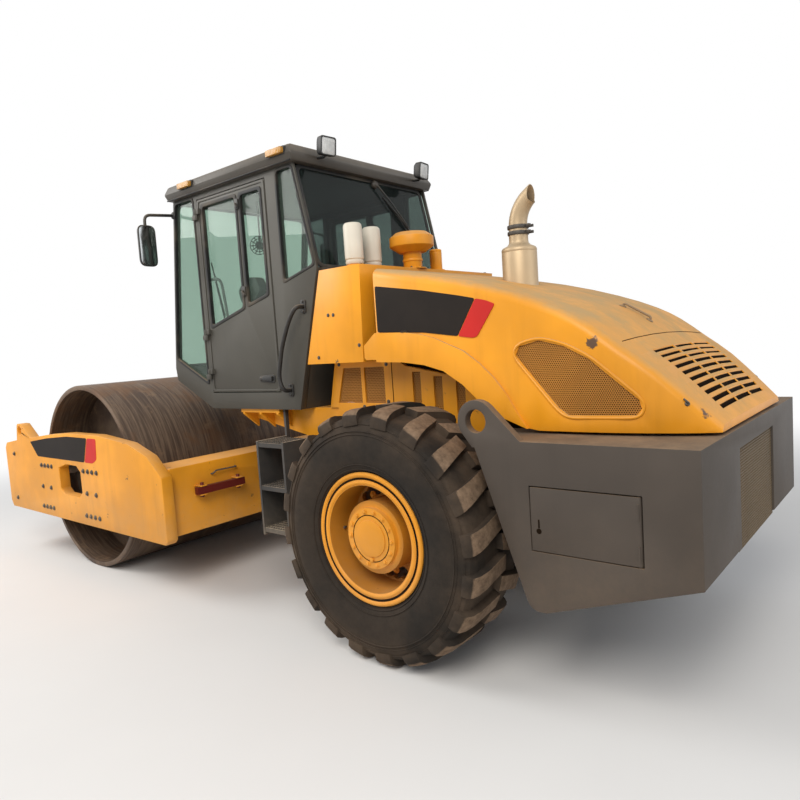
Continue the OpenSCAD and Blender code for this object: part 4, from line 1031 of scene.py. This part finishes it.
pod = rounded([(1.85, 2.29), (1.91, 2.395), (2.04, 2.405), (2.14, 2.3), (2.11, 2.2), (1.97, 2.18)], 0.03, 4)
inside.plate(pod, 0.12, 0.09)
inside.tube(bend([P(2.12, 0.165, 1.93), P(2.11, 0.165, 2.08), P(2.08, 0.165, 2.22)], 0.05), 0.028, 12)
fan = P(1.83, 0.2, 2.64)
fan_axis = V(-0.6, 0.8, 0)
inside.lathe(fan, fan_axis, [(0, -0.045), (0.03, -0.045), (0.034, -0.01), (0.03, 0.0), (0, 0.0)], 18)
for r in (0.03, 0.052, 0.074):
    inside.lathe(fan, fan_axis, [(r - 0.004, 0.0), (r, 0.004), (r + 0.004, 0.0), (r, -0.004)], 28, True)
for k in range(12):
    spoke = Matrix.Rotation(k * math.pi / 6, 3, fan_axis) @ up
    inside.tube([fan + spoke * 0.02, fan + spoke * 0.076], 0.0045, 6)
inside.tube(bend([P(1.84, 0.19, 2.64), P(1.858, 0.166, 2.68), P(1.858, 0.166, 2.99)], 0.03), 0.008, 8)
inside.done(0.004)
inner_rail = Piece("cab_rail", "dial")
inner_rail.tube(bend([
    P(1.985, 0.45, 1.47), P(1.985, 0.45, 2.08), P(2.035, 0.45, 2.39), P(2.255, 0.45, 2.4)], 0.07, 6),
    0.012, 12)
inner_rail.done()
dials = Piece("cab_dials", "dial")
for y in (-0.13, -0.045, 0.045, 0.13):
    dials.lathe(P(2.128, y, 2.046), up, [
        (0, 0), (0.03, 0.0), (0.03, 0.006), (0.026, 0.009), (0.024, 0.006), (0, 0.006)], 24)
dials.done()
pad = Piece("cab_mat", "mat")
mat_edge = rounded(rect(1.18, -0.52, 1.86, 0.52), 0.05, 4)
pad.prism([P(x, y, 1.441) for x, y in mat_edge], V(0, 0, 0.006))
pad.done(0.002)


def settle(o):
    """Turns an object's modified shape into its mesh."""
    ev = o.evaluated_get(bpy.context.evaluated_depsgraph_get())
    mesh = bpy.data.meshes.new_from_object(ev)
    o.modifiers.clear()
    o.data = mesh


def cushion(name, ring, half, stands_for, press):
    """A padded form: blown up as cloth from the CAD form's shape."""
    form = Piece(name, "fabric")
    form.plate(rounded(inset(ring, 0.01), 0.028, 4), -half + 0.01, 2 * half - 0.02)
    o = form.make()
    r = o.modifiers.new("remesh", "REMESH")
    r.mode = "VOXEL"
    r.voxel_size = 0.007
    settle(o)
    rest = [v.co.copy() for v in o.data.vertices]
    most = 0.024
    c = o.modifiers.new("cloth", "CLOTH")
    c.settings.use_pressure = True
    c.settings.uniform_pressure_force = press
    c.settings.effector_weights.gravity = 0.0
    c.settings.quality = 5
    for f in range(1, 21):
        scene.frame_set(f)
    settle(o)
    scene.frame_set(1)
    for v, p in zip(o.data.vertices, rest):
        move = v.co - p
        if move.length > most:
            v.co = p + move.normalized() * most
    o.modifiers.new("sub", "SUBSURF").levels = 1
    o.modifiers["sub"].render_levels = 1
    dress(o, "fabric")
    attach(o, "rear_body")
    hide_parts(stands_for)


cushion("seat_pad", rect(1.19, 1.76, 1.66, 1.87), 0.24, "chair_cushion", 4.0)
cushion(
    "back_pad", [(1.15, 1.78), (1.19, 1.775), (1.225, 1.88), (1.13, 2.4), (1.05, 2.4)], 0.23, "chair_back",
    4.0)

# Steps: grip teeth along the treads

teeth = Piece("step_grips", "step")
STEP_Y, STEP_X0 = 0.92, 0.87
for s in (1, -1):
    for z in (0.59, 0.88, 1.175):
        for row in range(6):
            y = STEP_Y - 0.215 + row * 0.038
            for col in range(11):
                x = STEP_X0 + 0.028 + col * 0.0245
                tooth = [
                    (x - 0.009, z - 0.001), (x + 0.009, z - 0.001), (x + 0.005, z + 0.008),
                    (x - 0.005, z + 0.008)]
                teeth.plate(tooth, s * y, s * 0.012)
teeth.done()

# Counterweight: grille with painted shade behind it, door lock and hinge

grille = Piece("rear_grille", "rear_mesh")
grille.holes(rect(-0.385, 0.705, 0.385, 1.195), lambda y, z, d: P(-1.688 + d, y, z), 0.016, 0.0056, 0.004)
grille.done()
# A dark sheet behind the grille holes is painted shade for the space behind the grille.
shade = Piece("rear_grille_painted_shade", "void")
shade.prism([P(-1.672, y, z) for y, z in rect(-0.378, 0.712, 0.378, 1.188)], V(0.004, 0, 0))
shade.done()

for s, side in SIDES:
    lock = Piece("access_lock_" + side, "void", side + "_access_door")
    lock.lathe(P(-0.985, s * 1.005, 0.87), (0, s, 0), [
        (0, -0.003), (0.013, -0.003), (0.013, 0.0008), (0, 0.0008)], 20)
    lock.plate(rect(-0.99, 0.885, -0.982, 0.925), s * 1.002, s * 0.0038)
    lock.done()
    strap = Piece("access_hinge_" + side, "grey", side + "_access_door")
    for z in (0.83, 1.01):
        strap.tube([P(-1.447, s * 1.0035, z - 0.035), P(-1.447, s * 1.0035, z + 0.035)], 0.0055, 10)
    strap.done()

# Rear beam: catch rod and the lugs that hold the lock bar

low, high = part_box("lock_bar")
face = high[0]
lugs = Piece("lock_bar_lugs", "yellow", "yoke")
for y in (low[1] + 0.05, high[1] - 0.05):
    for z in (0.7355, 0.8035):
        lug = [(face, y - 0.034), (face - 0.082, y - 0.03), (face - 0.082, y + 0.03), (face, y + 0.034)]
        lugs.prism([V(u, v, z) for u, v in rounded(lug, 0.012, 3)], V(0, 0, 0.008))
lugs.done(0.0012)
catch = Piece("rear_beam_catch", "black", "yoke")
route = [
    (face + 0.004, 0.758, 0.869), (face - 0.022, 0.755, 0.872), (face - 0.026, 0.727, 0.892),
    (face - 0.026, 0.536, 0.889), (face + 0.004, 0.534, 0.889)]
catch.tube(bend(route, 0.012, 4), 0.0065, 10)
catch.done()

# Rear wheels: painted shade in the rim grooves, hub bolts and cap, rim rings, sidewall ribs and valve

for s, side in SIDES:
    out = V(0, s, 0)
    centre = P(0, 0, AXLE_Z)
    # Thin dark rings are painted shade in the rim's grooves and round the hub cap.
    groove_shade = Piece("rim_groove_shade_" + side, "void", side + "_wheel")
    groove_shade.lathe(centre, out, [(0.332, 1.1), (0.332, 1.1088), (0.345, 1.1088), (0.345, 1.1)], 84, True)
    groove_shade.lathe(centre, out, [(0.128, 1.086), (0.128, 1.0908), (0.133, 1.0908), (0.133, 1.086)], 64, True)
    groove_shade.done()
    hub = Piece("hub_bolts_" + side, "ybolt", side + "_wheel")
    for count, turn, r, y, size in ((14, 0.0, 0.15, 1.09, 0.0105), (10, 0.5, 0.235, 0.897, 0.015)):
        for k in range(count):
            a = math.tau * (k + turn) / count
            hub.bolt(centre + V(r * math.cos(a), s * y, r * math.sin(a)), out, size)
    hub.lathe(centre + out * 1.09, out, [
        (0, 0), (0.105, 0), (0.103, 0.006), (0.07, 0.01), (0.03, 0.012), (0, 0.012)], 48)
    hub.lathe(centre + out * 1.09 + V(0, 0, -0.118), out, [
        (0, 0), (0.014, 0), (0.014, 0.01), (0, 0.012)], 6)
    for r, w in ((0.36, 0.0135), (0.317, 0.013)):
        hub.lathe(centre, out, [
            (r - w, 1.098), (r - w, 1.106), (r - 0.6 * w, 1.113), (r, 1.1155), (r + 0.6 * w, 1.113),
            (r + w, 1.106), (r + w, 1.098)], 84, True)
    hub.done(0.0012)
    ribs = Piece("tyre_ribs_" + side, "tyre", side + "_wheel")
    for r, y, w in (
            (0.392, 1.1135, 0.006), (0.418, 1.1235, 0.005), (0.585, 1.1322, 0.006), (0.602, 1.1294, 0.004),
            (0.64, 1.116, 0.004)):
        ribs.lathe(centre, out, [
            (r - w, y - 0.012), (r - w * 0.6, y + 0.003), (r, y + 0.006), (r + w * 0.6, y + 0.003),
            (r + w, y - 0.012)], 96, True)
    ribs.done()
    valve = Piece("tyre_valve_" + side, "bolt", side + "_wheel")
    valve.tube([centre + V(0.318, s * 0.93, 0.0), centre + V(0.3, s * 0.985, 0.0)], [0.006, 0.005], 10)
    valve.lathe(centre + V(0.3, s * 0.985, 0.0), (-0.31, s * 0.95, 0), [
        (0, -0.004), (0.008, -0.004), (0.008, 0.012), (0.006, 0.015), (0, 0.015)], 12)
    valve.done()

# Drum yoke: bands and bolts

YOKE = 1.2  # half width of the yoke
BAR_BAND = [(4.17, 1.095), (4.03, 0.965), (3.105, 0.965), (3.025, 1.172), (3.4, 1.172), (3.79, 1.142)]
BAR_END = [(3.095, 0.965), (2.96, 0.965), (2.885, 1.0), (2.865, 1.172), (3.015, 1.172)]
SPOTS = [(x, z) for z, row in {
    0.886: (3.97, 3.9, 3.83, 3.76), 0.889: (3.14, 3.063, 2.987, 2.91),
    0.688: (3.98, 3.81), 0.7: (3.11, 2.95),
    0.5: (4.01, 3.94, 3.87, 3.8), 0.505: (3.16, 3.083, 3.007, 2.93),
    0.96: (4.8,), 0.958: (4.58,), 0.602: (4.885,), 0.52: (4.61,),
}.items() for x in row]
for s, side in SIDES:
    plate_face = face_of(side + "_side_plate", (0, -s, 0))
    for name, look, outline in (
            ("yoke_band_", "decal", BAR_BAND), ("yoke_band_end_", "decal_red", BAR_END)):
        band = Piece(name + side, look, "yoke")
        band.plate(rounded(outline, 0.02, 4), s * (YOKE - 0.001), s * 0.0028)
        band.done()
    bolts = Piece("yoke_bolts_" + side, "bolt", "yoke")
    for x, z in SPOTS:
        at = plate_face(P(x, s * 1.6, z))[0]
        if at is not None and abs(at.y) > 1.15:
            bolts.bolt(at, (0, s, 0), 0.0145)
    bolts.done(0.0012)

# Floor, world and lamps


def by_ray(nt, shown, shader, output):
    """Shows one shader to the camera's own, mirrored and refracted rays, and another to every other ray."""
    rays = nt.nodes.new("ShaderNodeLightPath").outputs
    seen = rays["Is Camera Ray"]
    for kind in ("Is Glossy Ray", "Is Transmission Ray"):
        either = nt.nodes.new("ShaderNodeMath")
        either.operation = "MAXIMUM"
        nt.links.new(seen, either.inputs[0])
        nt.links.new(rays[kind], either.inputs[1])
        seen = either.outputs[0]
    mixer = nt.nodes.new("ShaderNodeMixShader")
    for source, socket in zip((seen, shader, shown), mixer.inputs):
        nt.links.new(source, socket)
    nt.links.new(mixer.outputs[0], output)


floor_mesh = bpy.data.meshes.new("floor")
floor_mesh.from_pydata([(x, y, 0) for x, y in rect(-60, -60, 60, 60)], [], [(0, 1, 2, 3)])
floor = bpy.data.objects.new("floor", floor_mesh)
scene.collection.objects.link(floor)
g = Graph("pale_floor")
pale = g.mix(g.noise(0.8, 3.0), (0.7, 0.69, 0.68), (0.75, 0.745, 0.735))
floor_mesh.materials.append(g.set(Base_Color=pale, Roughness=0.9))
fade = g.new("MixShader")
edge_of_floor = g.step(g.distance((0.0, 0.0, 0.0)), 4.0, 10.0)
for socket, source in zip(fade.inputs, (edge_of_floor, g.bsdf.outputs[0], g.new("Emission").outputs[0])):
    g.put(socket, source)
by_ray(g.nt, fade.outputs[0], g.bsdf.outputs[0], g.out)
world = bpy.data.worlds.new("soft_sky")
scene.world = world
world.use_nodes = True
sky = world.node_tree.nodes["Background"]
sky.inputs[0].default_value = (0.86, 0.9, 0.96, 1.0)
sky.inputs[1].default_value = 0.4
white = world.node_tree.nodes.new("ShaderNodeBackground")
white.inputs[0].default_value = (1.0, 1.0, 1.0, 1.0)
white.inputs[1].default_value = 1.0
by_ray(world.node_tree, white.outputs[0], sky.outputs[0], world.node_tree.nodes["World Output"].inputs[0])


def lamp(name, at, aim, size, power, colour):
    """A square lamp at a point, turned to another point."""
    light = bpy.data.lights.new(name, "AREA")
    light.size = size
    light.energy = power
    light.color = colour
    o = bpy.data.objects.new(name, light)
    o.location = at
    o.rotation_mode = "QUATERNION"
    o.rotation_quaternion = (Vector(aim) - Vector(at)).to_track_quat("-Z", "Y")
    scene.collection.objects.link(o)


lamp("key", P(-3.0, 6.5, 7.0), P(0.6, 0, 1.3), 5.0, 570.0, (1.0, 0.96, 0.9))
lamp("fill", P(-7.0, -1.5, 4.5), P(0.5, 0, 1.2), 5.0, 130.0, (0.95, 0.97, 1.0))
lamp("far", P(6.5, 4.0, 5.5), P(1.5, 0, 1.2), 4.0, 350.0, (1.0, 0.98, 0.95))
